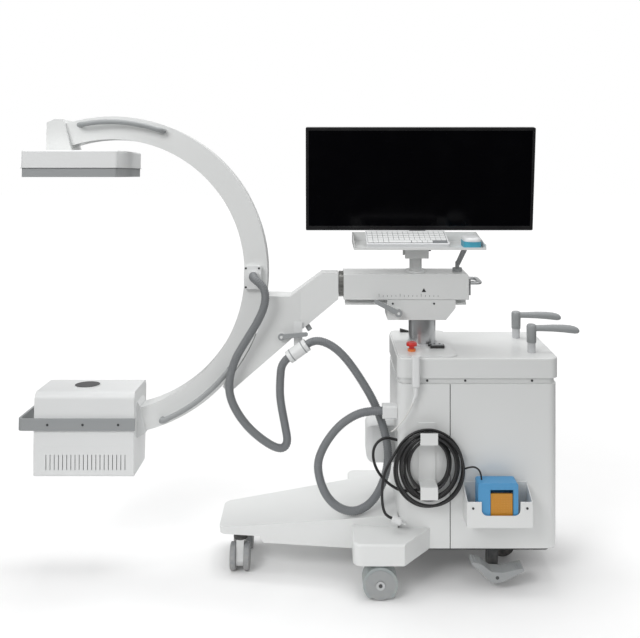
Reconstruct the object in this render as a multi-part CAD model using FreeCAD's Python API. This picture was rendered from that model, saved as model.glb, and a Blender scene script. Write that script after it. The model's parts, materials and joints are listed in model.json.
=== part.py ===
import FreeCAD, Part
import math
import os

# Mobile c-arm x-ray unit, millimetres, +Z up, floor at Z 0.
# X runs along the machine (minus X is the c-arm end), minus Y is the side shown in the photo.

os.makedirs("parts", exist_ok=True)

Vec = FreeCAD.Vector
ALONG_X = Vec(1, 0, 0)
ALONG_Y = Vec(0, 1, 0)
UP = Vec(0, 0, 1)

# Clearances
RUNNING = 0.05
SEAT = 0.3
PLAY = 0.8

# The c-shaped arc, before it is leaned
ARC_X = -678.0
ARC_Z = 1016.0
ARC_OUTER = 560.0
ARC_DEPTH = 82.0
ARC_INNER = ARC_OUTER - ARC_DEPTH
ARC_HALF_WIDTH = 45.0
ARC_LOW_ANGLE = -76.0
ARC_HIGH_ANGLE = 107.5
ARC_WALL = 6.0
GROOVE_HALF_WIDTH = 10.0
GROOVE_DEPTH = 12.0
SHOE_ANGLES = (-12.0, -26.0, -40.0)

# The turning axis of the c group and how far the group is turned at rest
TURN_Z = 976.0
LEAN_DEGREES = -3.8
SHAFT_RADIUS = 30.0
SHAFT_LENGTH = 90.0

# Sliding arm, saddle and lifting column
COLUMN_X = 435.0
COLUMN_RADIUS = 48.0
COLUMN_LENGTH = 557.7
ARM_LEFT = COLUMN_X - 283.0
ARM_LENGTH = 443.0
ARM_RIGHT = ARM_LEFT + ARM_LENGTH
ARM_HEIGHT = 92.0
ARM_BOTTOM = TURN_Z - 47.0
ARM_TOP = ARM_BOTTOM + ARM_HEIGHT
ARM_HALF_WIDTH = 55.0
ARM_WALL = 8.0
RAIL_HALF_HEAD = 24.0
RAIL_HALF_NECK = 14.0
RAIL_DEPTH = 24.0
SADDLE_HEIGHT = 71.0
SADDLE_BOTTOM = ARM_BOTTOM - SADDLE_HEIGHT
SADDLE_LEFT = COLUMN_X - 129.0
SADDLE_RIGHT = COLUMN_X + 112.0
COLUMN_BOTTOM = SADDLE_BOTTOM - SEAT - COLUMN_LENGTH
SPIGOT_RADIUS = 20.0
SPIGOT_HEIGHT = 30.0
RING_WIDTH = 17.0
RING_RADIUS = 46.0
LOCK_X = ARM_RIGHT - 33.0

# The carrier between arc and sliding arm
CARRIER_GAP = 2.0
CARRIER_RIGHT = ARM_LEFT - RING_WIDTH - CARRIER_GAP
CARRIER_TOP = TURN_Z + 43.0
CARRIER_NECK = 91.0
CARRIER_SHELF = CARRIER_TOP - 81.0
CARRIER_HALF_SLIM = 50.0
CARRIER_HALF_WIDE = 62.0
CARRIER_LOW_ANGLE = -43.5

# Cabinet
CAB_LEFT = COLUMN_X - 103.0
CAB_LENGTH = 541.0
CAB_RIGHT = CAB_LEFT + CAB_LENGTH
CAB_HALF_WIDTH = 176.0
CAB_BOTTOM = 114.0
CAB_HEIGHT = 556.0
CAB_TOP = CAB_BOTTOM + CAB_HEIGHT
CAB_CORNER = 30.0
PANEL_THICK = 4.0
SHELL_THICK = 3.0
SEAM_X = CAB_LEFT + 177.0
SEAM_WIDTH = 3.0
LID_LEFT = CAB_LEFT - 2.0
LID_RIGHT = CAB_RIGHT + 5.0
LID_BOTTOM = CAB_TOP + 20.0
LID_HEIGHT = 68.0
LID_TOP = LID_BOTTOM + LID_HEIGHT
DECK_RISE = 6.0
DECK_TOP = LID_TOP + DECK_RISE
DECK_RIGHT = COLUMN_X + 100.0
LID_HOLE = COLUMN_RADIUS + 2.0
BASE_THICK = 10.0
BASE_BOTTOM = CAB_BOTTOM - BASE_THICK
BASE_RIGHT = CAB_RIGHT - 23.0
BASE_HALF = CAB_HALF_WIDTH - 11.0

# Controls on the lid
STOP_X = COLUMN_X - 49.0
STOP_Y = -108.0
ROCKER_X = COLUMN_X + 45.0
ROCKER_Y = -COLUMN_RADIUS - 17.0
STEER_SPOTS = ((LID_RIGHT - 75.0, -102.0), (LID_RIGHT - 83.0, 90.0))
STEER_SOCKET = 34.0
STEER_POST = 60.0
STEER_GRIP = 140.0

# Things hung on the near side of the cabinet
NEAR_FACE = -CAB_HALF_WIDTH
HOOK_LEFT = CAB_LEFT + 69.0
HOOK_RIGHT = HOOK_LEFT + 58.0
HOOK_FRONT = NEAR_FACE - 62.0
HOOK_SHEET = 3.0
HOOK_LOW = CAB_BOTTOM + 230.0
HOOK_HIGH = HOOK_LOW + 146.0
BIN_LEFT = SEAM_X + 43.0
BIN_RIGHT = BIN_LEFT + 216.0
BIN_FRONT = NEAR_FACE - 80.0
BIN_BOTTOM = CAB_BOTTOM + 109.0
BIN_SHEET = 2.0
SWITCH_LEFT = BIN_LEFT + 38.0
SWITCH_WIDTH = 132.0
SWITCH_FRONT = BIN_FRONT + 6.0
SWITCH_BOTTOM = BIN_BOTTOM + BIN_SHEET + SEAT
SWITCH_TOP = SWITCH_BOTTOM + 141.7

# Front leg and outriggers
LEG_RIGHT = CAB_LEFT
LEG_LEFT = LEG_RIGHT - 616.0
LEG_MID_X = LEG_RIGHT - 156.0
LEG_HALF_FRONT = 100.0
LEG_HALF_MID = CAB_HALF_WIDTH - 21.0
LEG_HALF_BACK = CAB_HALF_WIDTH - 4.0
LEG_TOP = CAB_BOTTOM + 110.0
LEG_FRONT_BOTTOM = 126.0
OUT_REACH = CAB_HALF_WIDTH + 114.0
OUT_BOTTOM = CAB_BOTTOM + 1.0
OUT_TOP = OUT_BOTTOM + 69.0

# Wheels
WHEEL_RADIUS = 45.0
AXLE_Z = WHEEL_RADIUS
AXLE_RADIUS = 6.0
STEM_RADIUS = 8.0
HOOD_WALL = 4.0
HOOD_RADIUS = WHEEL_RADIUS + 12.0
HOOD_Z = AXLE_Z + 5.0
HOOD_WIDTH = 60.0
HOOD_INSET = 5.0
MAIN_X = LEG_RIGHT - 67.0
MAIN_Y = OUT_REACH - HOOD_INSET - HOOD_WIDTH / 2
FRONT_X = LEG_LEFT + 74.0
FRONT_Y = 73.0
FRONT_TRAIL = 18.0
WEB_WIDTH = 26.0
TWIN_WIDTH = 20.0
REAR_X = BASE_RIGHT - 150.0
REAR_TRAIL = 22.0
PEDAL_X = BASE_RIGHT - 193.0
PEDAL_BACK = NEAR_FACE - 4.0
PEDAL_FRONT = PEDAL_BACK - 52.0
HANGER_FRONT = -BASE_HALF + 7.0

# Console
POST_X = COLUMN_X - 23.0
POST_RADIUS = 22.0
POST_TOP = ARM_TOP + 51.0
POST_SPIGOT = 16.0
SPIGOT_RISE = 40.0
TRAY_FLOOR = POST_TOP + SPIGOT_RISE + 10.0
TRAY_THICK = 2.0
TRAY_LEFT = POST_X - 228.0
TRAY_RIGHT = POST_X + 223.0
TRAY_FRONT = -160.0
TRAY_BACK = 30.0
CHANNEL_HALF = 42.0
KEYBOARD_TILT = 14.0
KEYBOARD_LENGTH = 284.0
KEYBOARD_DEPTH = 125.0
SCREEN_X = POST_X + 21.0
SCREEN_WIDTH = 834.0
SCREEN_HEIGHT = 381.0
SCREEN_Z = TRAY_FLOOR + SCREEN_HEIGHT / 2 + 43.5
SCREEN_FRONT = 40.0
SCREEN_TILT = 7.0
TILT_Y = SCREEN_FRONT + 64.0
TILT_PIN = 6.0

# Heads of the arc
DETECTOR_WIDTH = 331.0
DETECTOR_RIGHT = ARC_X + 56.0
DETECTOR_LEFT = DETECTOR_RIGHT - DETECTOR_WIDTH
DETECTOR_HALF = 187.0
DETECTOR_TOP = ARC_Z + ARC_INNER - 43.0
DETECTOR_SPLIT = DETECTOR_TOP - 61.0
DETECTOR_BOTTOM = DETECTOR_SPLIT - 31.0
MOUNT_TOP = ARC_Z + ARC_OUTER - 11.0
TUBE_HALF = 100.0
TUBE_WIDTH = 344.0
TUBE_RIGHT = ARC_X + ARC_INNER * math.cos(math.radians(ARC_LOW_ANGLE)) - 10.6
TUBE_LEFT = TUBE_RIGHT - TUBE_WIDTH
TUBE_TOP = ARC_Z - ARC_INNER + 79.0
TUBE_HEIGHT = 287.0
TUBE_BOTTOM = TUBE_TOP - TUBE_HEIGHT
TUBE_CREASE = TUBE_BOTTOM + 107.0
BUMPER_HIGH = TUBE_TOP - 87.0
BUMPER_LOW = BUMPER_HIGH - 40.0
BUMPER_THICK = 8.0
RAIL_THICK = 9.0
RAIL_STAND = 34.0
RAIL_RADIUS = ARC_OUTER - 20.0
RAIL_SPANS = ((70.0, 102.0), (-69.0, -38.0))
PLATE_RIGHT = ARC_X + ARC_OUTER - 22.0
PLATE_THICK = 24.0
PLATE_Z = ARC_Z - 11.0
GLAND_LENGTH = 14.0

# Cords
HOSE_RADIUS = 15.0
POWER_RADIUS = 4.75
THIN_RADIUS = 2.5


def box(x0, x1, y0, y1, z0, z1):
    return Part.makeBox(x1 - x0, y1 - y0, z1 - z0, Vec(x0, y0, z0))


def rod(radius, length, start, axis=UP):
    return Part.makeCylinder(radius, length, Vec(*start), axis)


def outline(points):
    corners = [Vec(*p) for p in points]
    return Part.Face(Part.makePolygon(corners + corners[:1]))


def plate_xz(points, y0, y1):
    face = outline([(x, y0, z) for x, z in points])
    return face.extrude(Vec(0, y1 - y0, 0))


def plate_xy(points, z0, z1):
    face = outline([(x, y, z0) for x, y in points])
    return face.extrude(Vec(0, 0, z1 - z0))


def plate_yz(points, x0, x1):
    face = outline([(x0, y, z) for y, z in points])
    return face.extrude(Vec(x1 - x0, 0, 0))


def joined(shapes):
    shapes = list(shapes)
    whole = shapes[0].multiFuse(shapes[1:]) if len(shapes) > 1 else shapes[0]
    return whole.removeSplitter()


def edges_along(shape, axis, keep=lambda edge: True):
    chosen = []
    for edge in shape.Edges:
        if len(edge.Vertexes) != 2:
            continue
        run = edge.Vertexes[1].Point.sub(edge.Vertexes[0].Point)
        if run.Length < 1e-6:
            continue
        if abs(run.dot(axis)) / run.Length > 0.999 and keep(edge):
            chosen.append(edge)
    return chosen


def rounded(x0, x1, y0, y1, z0, z1, radius):
    block = box(x0, x1, y0, y1, z0, z1)
    return block.makeFillet(radius, edges_along(block, UP))


def mirrored(shape):
    return shape.mirror(Vec(0, 0, 0), ALONG_Y)


def leaned(shape):
    turned = shape.copy()
    turned.rotate(Vec(0, 0, TURN_Z), ALONG_X, LEAN_DEGREES)
    return turned


def arc_point(radius, angle, y=0.0):
    bend = math.radians(angle)
    return Vec(ARC_X + radius * math.cos(bend), y, ARC_Z + radius * math.sin(bend))


def arc_band(inner, outer, low, high, y0, y1):
    corners = [
        Vec(ARC_X + inner, y0, ARC_Z),
        Vec(ARC_X + outer, y0, ARC_Z),
        Vec(ARC_X + outer, y1, ARC_Z),
        Vec(ARC_X + inner, y1, ARC_Z),
    ]
    face = Part.Face(Part.makePolygon(corners + corners[:1]))
    face.rotate(Vec(ARC_X, 0, ARC_Z), ALONG_Y, -low)
    return face.revolve(Vec(ARC_X, 0, ARC_Z), Vec(0, -1, 0), high - low)


def bent_path(points):
    nodes = [Vec(*p) for p in points]
    pieces = []
    radii = []
    start = nodes[0]
    for before, corner, after in zip(nodes, nodes[1:], nodes[2:]):
        back = before.sub(corner)
        ahead = after.sub(corner)
        shorter = min(back.Length, ahead.Length)
        back.normalize()
        ahead.normalize()
        turn = math.pi - back.getAngle(ahead)
        reach = 0.45 * shorter
        radius = reach / math.tan(turn / 2)
        enter = corner.add(back * reach)
        leave = corner.add(ahead * reach)
        inward = back.add(ahead)
        inward.normalize()
        to_centre = radius / math.cos(turn / 2)
        middle = corner.add(inward * (to_centre - radius))
        pieces.append(Part.LineSegment(start, enter).toShape())
        pieces.append(Part.Arc(enter, middle, leave).toShape())
        radii.append(radius)
        start = leave
    pieces.append(Part.LineSegment(start, nodes[-1]).toShape())
    return Part.Wire(pieces), radii


def cord(name, points, radius):
    wire, radii = bent_path(points)
    first = Vec(*points[1]).sub(Vec(*points[0]))
    ring = Part.Wire(Part.makeCircle(radius, Vec(*points[0]), first))
    tube = wire.makePipeShell([ring], True, False)
    print(name, "length", round(wire.Length), "arc radii", [round(r) for r in radii])
    return tube


def save(name, *shapes):
    shape = shapes[0] if len(shapes) == 1 else Part.makeCompound(list(shapes))
    if not shape.isValid():
        print("not valid:", name)
    shape.exportStep("parts/" + name + ".step")
    print(name, len(shape.Solids), [round(v) for v in (
        shape.BoundBox.XMin, shape.BoundBox.XMax, shape.BoundBox.YMin,
        shape.BoundBox.YMax, shape.BoundBox.ZMin, shape.BoundBox.ZMax)])


# Chassis

def base_frame():
    plate = rounded(CAB_LEFT, BASE_RIGHT, -BASE_HALF, BASE_HALF, BASE_BOTTOM, CAB_BOTTOM, 20)
    plate = plate.cut(rod(STEM_RADIUS + RUNNING, BASE_THICK, (REAR_X, 0, BASE_BOTTOM)))
    hanger = box(PEDAL_X - 18, PEDAL_X + 18, HANGER_FRONT, HANGER_FRONT + 38, AXLE_Z - 20, BASE_BOTTOM)
    pin = rod(AXLE_RADIUS, HANGER_FRONT - PEDAL_FRONT, (PEDAL_X, HANGER_FRONT, AXLE_Z), Vec(0, -1, 0))
    save("base_frame", joined([plate, hanger, pin]))


def front_leg():
    side = [(LEG_LEFT + 4, LEG_FRONT_BOTTOM), (LEG_LEFT + 144, LEG_FRONT_BOTTOM),
            (LEG_LEFT + 156, BASE_BOTTOM), (LEG_RIGHT, BASE_BOTTOM), (LEG_RIGHT, LEG_TOP),
            (LEG_MID_X, LEG_TOP - 19), (LEG_LEFT, LEG_TOP - 77)]
    beam = plate_xz(side, -LEG_HALF_BACK, LEG_HALF_BACK)
    plan = [(LEG_LEFT, -LEG_HALF_FRONT), (LEG_MID_X, -LEG_HALF_MID), (LEG_RIGHT, -LEG_HALF_BACK),
            (LEG_RIGHT, LEG_HALF_BACK), (LEG_MID_X, LEG_HALF_MID), (LEG_LEFT, LEG_HALF_FRONT)]
    mask = plate_xy(plan, BASE_BOTTOM - 20, LEG_TOP + 20)
    front = edges_along(mask, UP, lambda e: e.BoundBox.XMax < LEG_LEFT + 1)
    beam = beam.common(mask.makeFillet(28, front))
    for side_y in (-FRONT_Y, FRONT_Y):
        beam = beam.cut(rod(STEM_RADIUS + RUNNING, 12, (FRONT_X, side_y, LEG_FRONT_BOTTOM)))
    save("front_leg", beam)


def outriggers():
    plan = [(LEG_MID_X, -LEG_HALF_MID), (LEG_MID_X, -OUT_REACH), (LEG_RIGHT + 11, -OUT_REACH),
            (LEG_RIGHT + 108, NEAR_FACE), (LEG_RIGHT, NEAR_FACE), (LEG_RIGHT, -LEG_HALF_BACK)]
    block = plate_xy(plan, OUT_BOTTOM, OUT_TOP)
    corner = edges_along(block, UP, lambda e: e.BoundBox.YMax < -OUT_REACH + 1
                         and e.BoundBox.XMax < LEG_MID_X + 24)
    block = block.makeFillet(30, corner)
    rim = [e for e in block.Edges if e.BoundBox.ZMin > OUT_TOP - 0.1 and e.BoundBox.YMax < -OUT_REACH + 31]
    block = block.makeFillet(8, rim)
    save("outriggers", block, mirrored(block))


def wheel_hoods():
    front = MAIN_Y - HOOD_WIDTH / 2
    cup = rod(HOOD_RADIUS, HOOD_WIDTH, (MAIN_X, -front, HOOD_Z), Vec(0, -1, 0))
    stem = rod(26, OUT_BOTTOM - HOOD_Z, (MAIN_X, -MAIN_Y, HOOD_Z))
    room = rod(HOOD_RADIUS - HOOD_WALL - 2, HOOD_WIDTH - 2 * HOOD_WALL,
               (MAIN_X, -front - HOOD_WALL, HOOD_Z), Vec(0, -1, 0))
    mouth = box(MAIN_X - 2 * HOOD_RADIUS, MAIN_X + 2 * HOOD_RADIUS, -front - HOOD_WIDTH - 1, -front + 1,
                HOOD_Z - 2 * HOOD_RADIUS, AXLE_Z - WHEEL_RADIUS + 8)
    axle = rod(AXLE_RADIUS, HOOD_WIDTH, (MAIN_X, -front, AXLE_Z), Vec(0, -1, 0))
    cap = rod(12, 3, (MAIN_X, -front - HOOD_WIDTH, AXLE_Z), Vec(0, -1, 0))
    hood = joined([cup, stem]).cut(room).cut(mouth)
    hood = joined([hood, axle, cap])
    save("wheel_hoods", hood, mirrored(hood))


def main_wheels():
    width = HOOD_WIDTH - 2 * HOOD_WALL - 2 * PLAY
    wheel = rod(WHEEL_RADIUS, width, (MAIN_X, -MAIN_Y + width / 2, AXLE_Z), Vec(0, -1, 0))
    wheel = wheel.makeFillet(5, [e for e in wheel.Edges if abs(e.Length - 2 * math.pi * WHEEL_RADIUS) < 0.1])
    wheel = wheel.cut(rod(AXLE_RADIUS + RUNNING, width, (MAIN_X, -MAIN_Y + width / 2, AXLE_Z), Vec(0, -1, 0)))
    save("main_wheel_near", wheel)
    save("main_wheel_far", mirrored(wheel))


def front_casters():
    top = LEG_FRONT_BOTTOM - SEAT
    low = AXLE_Z - 25
    crown = WHEEL_RADIUS + AXLE_Z + 14
    for name, y in (("near", -FRONT_Y), ("far", FRONT_Y)):
        axle_y = y - FRONT_TRAIL
        web_left = FRONT_X - WEB_WIDTH / 2
        web = plate_yz([(axle_y - 34, AXLE_Z - 3), (axle_y - 22, low),
                        (axle_y + 22, low), (axle_y + 34, AXLE_Z - 3),
                        (y + 26, crown), (y - 22, crown)], web_left, web_left + WEB_WIDTH)
        web = web.makeFillet(8, edges_along(web, ALONG_X))
        collar = rod(25, top - crown + 2, (FRONT_X, y, crown - 2))
        stem = rod(STEM_RADIUS, 10, (FRONT_X, y, top))
        fork = joined([web, collar, stem])
        bore = rod(AXLE_RADIUS + RUNNING, WEB_WIDTH, (web_left, axle_y, AXLE_Z), ALONG_X)
        save("front_fork_" + name, fork.cut(bore))
        discs = []
        for start in (web_left - PLAY - TWIN_WIDTH, web_left + WEB_WIDTH + PLAY):
            disc = rod(WHEEL_RADIUS, TWIN_WIDTH, (start, axle_y, AXLE_Z), ALONG_X)
            discs.append(disc.makeFillet(4, disc.Edges[0:1] + disc.Edges[2:3]))
        axle = rod(AXLE_RADIUS, WEB_WIDTH + 2 * PLAY + 2, (web_left - PLAY - 1, axle_y, AXLE_Z), ALONG_X)
        save("front_wheel_" + name, joined(discs + [axle]))


def rear_caster():
    top = BASE_BOTTOM - SEAT
    axle_x = REAR_X + REAR_TRAIL
    head = rod(28, 8, (REAR_X, 0, top - 8))
    crown = box(REAR_X - 24, axle_x + 16, -20, 20, top - 8, top)
    stem = rod(STEM_RADIUS, BASE_THICK - 1, (REAR_X, 0, top))
    cheeks = []
    for y in (-20, 16):
        cheek = plate_xz([(axle_x - 12, AXLE_Z - 7), (axle_x + 12, AXLE_Z - 7),
                          (axle_x + 16, top), (REAR_X - 24, top)], y, y + 4)
        cheeks.append(cheek)
    axle = rod(AXLE_RADIUS, 40, (axle_x, 20, AXLE_Z), Vec(0, -1, 0))
    save("rear_fork", joined([head, crown, stem, axle] + cheeks))
    wheel = rod(WHEEL_RADIUS, 30, (axle_x, 15, AXLE_Z), Vec(0, -1, 0))
    wheel = wheel.makeFillet(4, [e for e in wheel.Edges if abs(e.Length - 2 * math.pi * WHEEL_RADIUS) < 0.1])
    save("rear_wheel", wheel.cut(rod(AXLE_RADIUS + RUNNING, 30, (axle_x, 15, AXLE_Z), Vec(0, -1, 0))))


def brake_pedal():
    shape = [(-87, 45), (-80, 52), (-50, 43), (-19, 19), (19, 17), (55, 25), (85, 32), (91, 23),
             (57, 5), (23, -13), (0, -18), (-23, -15), (-59, 23)]
    bar = plate_xz([(PEDAL_X + x, AXLE_Z + z) for x, z in shape], PEDAL_FRONT, PEDAL_BACK)
    bar = bar.makeFillet(3, edges_along(bar, ALONG_Y))
    width = PEDAL_BACK - PEDAL_FRONT
    bore = rod(AXLE_RADIUS + RUNNING, width + 2, (PEDAL_X, PEDAL_BACK + 1, AXLE_Z), Vec(0, -1, 0))
    save("brake_pedal", bar.cut(bore))


def cabinet_shell():
    inset = PANEL_THICK
    outer = rounded(CAB_LEFT + inset, CAB_RIGHT - inset, -CAB_HALF_WIDTH + inset, CAB_HALF_WIDTH - inset,
                    CAB_BOTTOM, CAB_TOP, CAB_CORNER - inset)
    inset += SHELL_THICK
    inner = rounded(CAB_LEFT + inset, CAB_RIGHT - inset, -CAB_HALF_WIDTH + inset, CAB_HALF_WIDTH - inset,
                    CAB_BOTTOM + SHELL_THICK, CAB_TOP + 1, CAB_CORNER - inset)
    save("cabinet_shell", outer.cut(inner))


def side_panels():
    low = CAB_BOTTOM
    high = CAB_TOP
    outer = rounded(CAB_LEFT, CAB_RIGHT, -CAB_HALF_WIDTH, CAB_HALF_WIDTH, low, high, CAB_CORNER)
    inset = PANEL_THICK
    inner = rounded(CAB_LEFT + inset, CAB_RIGHT - inset, -CAB_HALF_WIDTH + inset, CAB_HALF_WIDTH - inset,
                    low, high, CAB_CORNER - inset)
    skin = outer.cut(inner)
    end_seam = CAB_HALF_WIDTH - 66
    near = box(CAB_LEFT - 1, CAB_RIGHT + 1, -CAB_HALF_WIDTH - 1, end_seam - SEAM_WIDTH, low, high)
    far = box(CAB_LEFT - 1, CAB_RIGHT + 1, end_seam, CAB_HALF_WIDTH + 1, low, high)
    slit = box(SEAM_X - SEAM_WIDTH / 2, SEAM_X + SEAM_WIDTH / 2, -CAB_HALF_WIDTH - 1, 0, low, high)
    panels = skin.common(near).cut(slit)
    save("side_panels", *(panels.Solids + skin.common(far).Solids))


def cabinet_lid():
    half = CAB_HALF_WIDTH
    band = rounded(LID_LEFT + 8, LID_RIGHT - 10, -half + 8, half - 8, CAB_TOP, LID_BOTTOM, CAB_CORNER - 4)
    cover = rounded(LID_LEFT, LID_RIGHT, -half, half, LID_BOTTOM, LID_TOP, CAB_CORNER)
    rim = [e for e in cover.Edges if e.BoundBox.ZMin > LID_TOP - 0.1]
    cover = cover.makeFillet(5, rim)
    deck = rounded(LID_LEFT + 4, DECK_RIGHT, -half + 4, half - 4, LID_TOP - 6, DECK_TOP, CAB_CORNER - 4)
    lid = joined([band, cover, deck])
    room = rounded(LID_LEFT + 14, LID_RIGHT - 16, -half + 14, half - 14,
                   CAB_TOP, LID_TOP - 12, CAB_CORNER - 10)
    hole = rod(LID_HOLE, DECK_TOP - CAB_TOP + 20, (COLUMN_X, 0, CAB_TOP - 10))
    save("cabinet_lid", lid.cut(room).cut(hole))


def lid_fittings():
    top = DECK_TOP
    stop = rod(14, 8, (STOP_X, STOP_Y, top)).cut(rod(9 + RUNNING, 8, (STOP_X, STOP_Y, top)))
    frame = box(ROCKER_X - 25, ROCKER_X + 25, ROCKER_Y - 14, ROCKER_Y + 14, top, top + 9)
    frame = frame.makeFillet(3, edges_along(frame, UP))
    frame = frame.cut(box(ROCKER_X - 21, ROCKER_X + 21, ROCKER_Y - 10, ROCKER_Y + 10, top + 2, top + 9))
    pin = rod(1.5, 28, (ROCKER_X, ROCKER_Y - 14, top + 6), ALONG_Y)
    frame = joined([frame, pin])
    left = STOP_X - 16
    far = CAB_HALF_WIDTH - 35
    wedge = plate_xz([(left, top), (left + 32, top), (left + 32, top + 5), (left, top + 13)], far, far + 13)
    ring = rod(LID_HOLE + 3, 6, (COLUMN_X, 0, top)).cut(rod(COLUMN_RADIUS + RUNNING, 6, (COLUMN_X, 0, top)))
    sockets = []
    for x, y in STEER_SPOTS:
        collar = rod(14, STEER_SOCKET, (x, y, LID_TOP))
        sockets.append(collar.cut(rod(8 + RUNNING, STEER_SOCKET - 4, (x, y, LID_TOP + 4))))
    save("lid_fittings", stop, frame, wedge, ring, *sockets)


def lid_controls():
    foot = rod(9, 14, (STOP_X, STOP_Y, DECK_TOP + 6))
    cap = rod(18.5, 12, (STOP_X, STOP_Y, DECK_TOP + 19))
    cap = cap.makeFillet(5, [e for e in cap.Edges if e.BoundBox.ZMin > DECK_TOP + 30])
    save("stop_button", joined([foot, cap]))
    pivot_z = DECK_TOP + 6
    paddle = box(ROCKER_X - 19.5, ROCKER_X + 19.5, ROCKER_Y - 9, ROCKER_Y + 9, pivot_z, pivot_z + 7)
    hub = rod(3.2, 18, (ROCKER_X, ROCKER_Y - 9, pivot_z), ALONG_Y)
    bore = rod(1.5 + RUNNING, 18, (ROCKER_X, ROCKER_Y - 9, pivot_z), ALONG_Y)
    save("lift_rocker", joined([paddle, hub]).cut(bore))
    for (x, y), name in zip(STEER_SPOTS, ("near", "far")):
        socket_top = LID_TOP + STEER_SOCKET
        knee_z = socket_top + STEER_POST - 14
        peg = rod(8, 28, (x, y, socket_top - 28 + SEAT))
        post = rod(16, STEER_POST, (x, y, socket_top + SEAT))
        knee = rod(15, 36, (x - 16, y, knee_z), ALONG_X)
        grip = Part.makeCone(14, 10, STEER_GRIP, Vec(x + 16, y, knee_z), ALONG_X)
        tip = Part.makeSphere(10, Vec(x + 16 + STEER_GRIP, y, knee_z))
        save("steer_handle_" + name, joined([peg, post, knee, grip, tip]))


def cabinet_internals():
    floor = CAB_BOTTOM + SHELL_THICK
    sleeve = rod(COLUMN_RADIUS + 8, LID_BOTTOM - floor - 4, (COLUMN_X, 0, floor))
    sleeve = sleeve.cut(rod(COLUMN_RADIUS + RUNNING, LID_BOTTOM - floor, (COLUMN_X, 0, floor + 10)))
    left = COLUMN_X + COLUMN_RADIUS + 77
    right = CAB_RIGHT - 53
    half = CAB_HALF_WIDTH - 46
    generator = box(left, right, -half, half, floor, floor + 0.4 * CAB_HEIGHT)
    power_box = box(left, right, -half, half, floor + 0.4 * CAB_HEIGHT, floor + 0.6 * CAB_HEIGHT)
    actuator = rod(20, COLUMN_BOTTOM - floor - 23, (COLUMN_X, 0, floor + 10))
    save("cabinet_internals", joined([sleeve, actuator]), generator, power_box)


def hose_inlet():
    block = box(CAB_LEFT - 50, CAB_LEFT, INLET_Y - 21, INLET_Y + 21, INLET_Z - 22, INLET_Z + 22)
    block = block.makeFillet(6, edges_along(block, ALONG_X))
    low = CAB_BOTTOM + 243
    cowl = box(CAB_LEFT - 100, CAB_LEFT, -60, 60, low, low + 130)
    cowl = cowl.makeFillet(24, [e for e in edges_along(cowl, UP) + edges_along(cowl, ALONG_Y)
                                if e.BoundBox.XMax < CAB_LEFT - 99])
    save("hose_inlet", block, cowl)


def cable_hooks():
    left, right, sheet = HOOK_LEFT, HOOK_RIGHT, HOOK_SHEET
    back = box(left, right, NEAR_FACE - sheet, NEAR_FACE, HOOK_LOW - 44, HOOK_HIGH + 50)
    upper = box(left, right, HOOK_FRONT, NEAR_FACE, HOOK_HIGH - sheet, HOOK_HIGH)
    upper_tab = box(left, right, HOOK_FRONT, HOOK_FRONT + sheet, HOOK_HIGH - sheet, HOOK_HIGH + 36)
    lower = box(left, right, HOOK_FRONT, NEAR_FACE, HOOK_LOW, HOOK_LOW + sheet)
    lower_tab = box(left, right, HOOK_FRONT, HOOK_FRONT + sheet, HOOK_LOW - 39, HOOK_LOW + sheet)
    save("cable_hooks", joined([back, upper, upper_tab, lower, lower_tab]))


def pedal_bin():
    rear_top = BIN_BOTTOM + 119
    side = [(BIN_FRONT, BIN_BOTTOM), (NEAR_FACE, BIN_BOTTOM),
            (NEAR_FACE, rear_top), (BIN_FRONT, rear_top - 35)]
    outer = plate_yz(side, BIN_LEFT, BIN_RIGHT)
    sheet = BIN_SHEET
    room = box(BIN_LEFT + sheet, BIN_RIGHT - sheet, BIN_FRONT + sheet, NEAR_FACE - sheet,
               BIN_BOTTOM + sheet, rear_top + 20)
    low = BIN_BOTTOM + 39
    window = box(BIN_LEFT + 48, BIN_RIGHT - 40, BIN_FRONT - 1, BIN_FRONT + sheet + 1, low, rear_top)
    window = window.makeFillet(20, [e for e in edges_along(window, ALONG_Y) if e.BoundBox.ZMax < low + 1])
    save("pedal_bin", outer.cut(room).cut(window))


def footswitch():
    left = SWITCH_LEFT
    right = SWITCH_LEFT + SWITCH_WIDTH
    back = SWITCH_FRONT + 55
    body = box(left, right, SWITCH_FRONT, back, SWITCH_BOTTOM, SWITCH_TOP)
    body = body.makeFillet(8, [e for e in edges_along(body, ALONG_Y) if e.BoundBox.ZMin > SWITCH_TOP - 7])
    tread_left = left + 42
    tread_right = right - 18
    low = SWITCH_BOTTOM + 8.7
    recess = box(tread_left - 2, tread_right + 2, SWITCH_FRONT - 1, back - 10, low, SWITCH_TOP - 22)
    hinge_y = SWITCH_FRONT + 18
    hinge_z = low + 8
    pin = rod(2, tread_right - tread_left + 8, (tread_left - 4, hinge_y, hinge_z), ALONG_X)
    save("footswitch_base", joined([body.cut(recess), pin]))
    tread = box(tread_left, tread_right, SWITCH_FRONT + 4, SWITCH_FRONT + 12, hinge_z + 2, SWITCH_TOP - 37)
    hub = rod(5, tread_right - tread_left, (tread_left, hinge_y, hinge_z), ALONG_X)
    web = box(tread_left, tread_right, SWITCH_FRONT + 4, hinge_y, hinge_z - 2, hinge_z + 10)
    bore = rod(2 + RUNNING, tread_right - tread_left, (tread_left, hinge_y, hinge_z), ALONG_X)
    save("footswitch_treadle", joined([tread, hub, web]).cut(bore))


# Lifting column, saddle and sliding arm

def lift_column():
    tube = rod(COLUMN_RADIUS, SADDLE_BOTTOM - SEAT - COLUMN_BOTTOM, (COLUMN_X, 0, COLUMN_BOTTOM))
    bore = rod(COLUMN_RADIUS - 8, SADDLE_BOTTOM - 30 - COLUMN_BOTTOM, (COLUMN_X, 0, COLUMN_BOTTOM))
    spigot = rod(SPIGOT_RADIUS, SPIGOT_HEIGHT, (COLUMN_X, 0, SADDLE_BOTTOM - SEAT))
    save("lift_column", joined([tube.cut(bore), spigot]))


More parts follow.
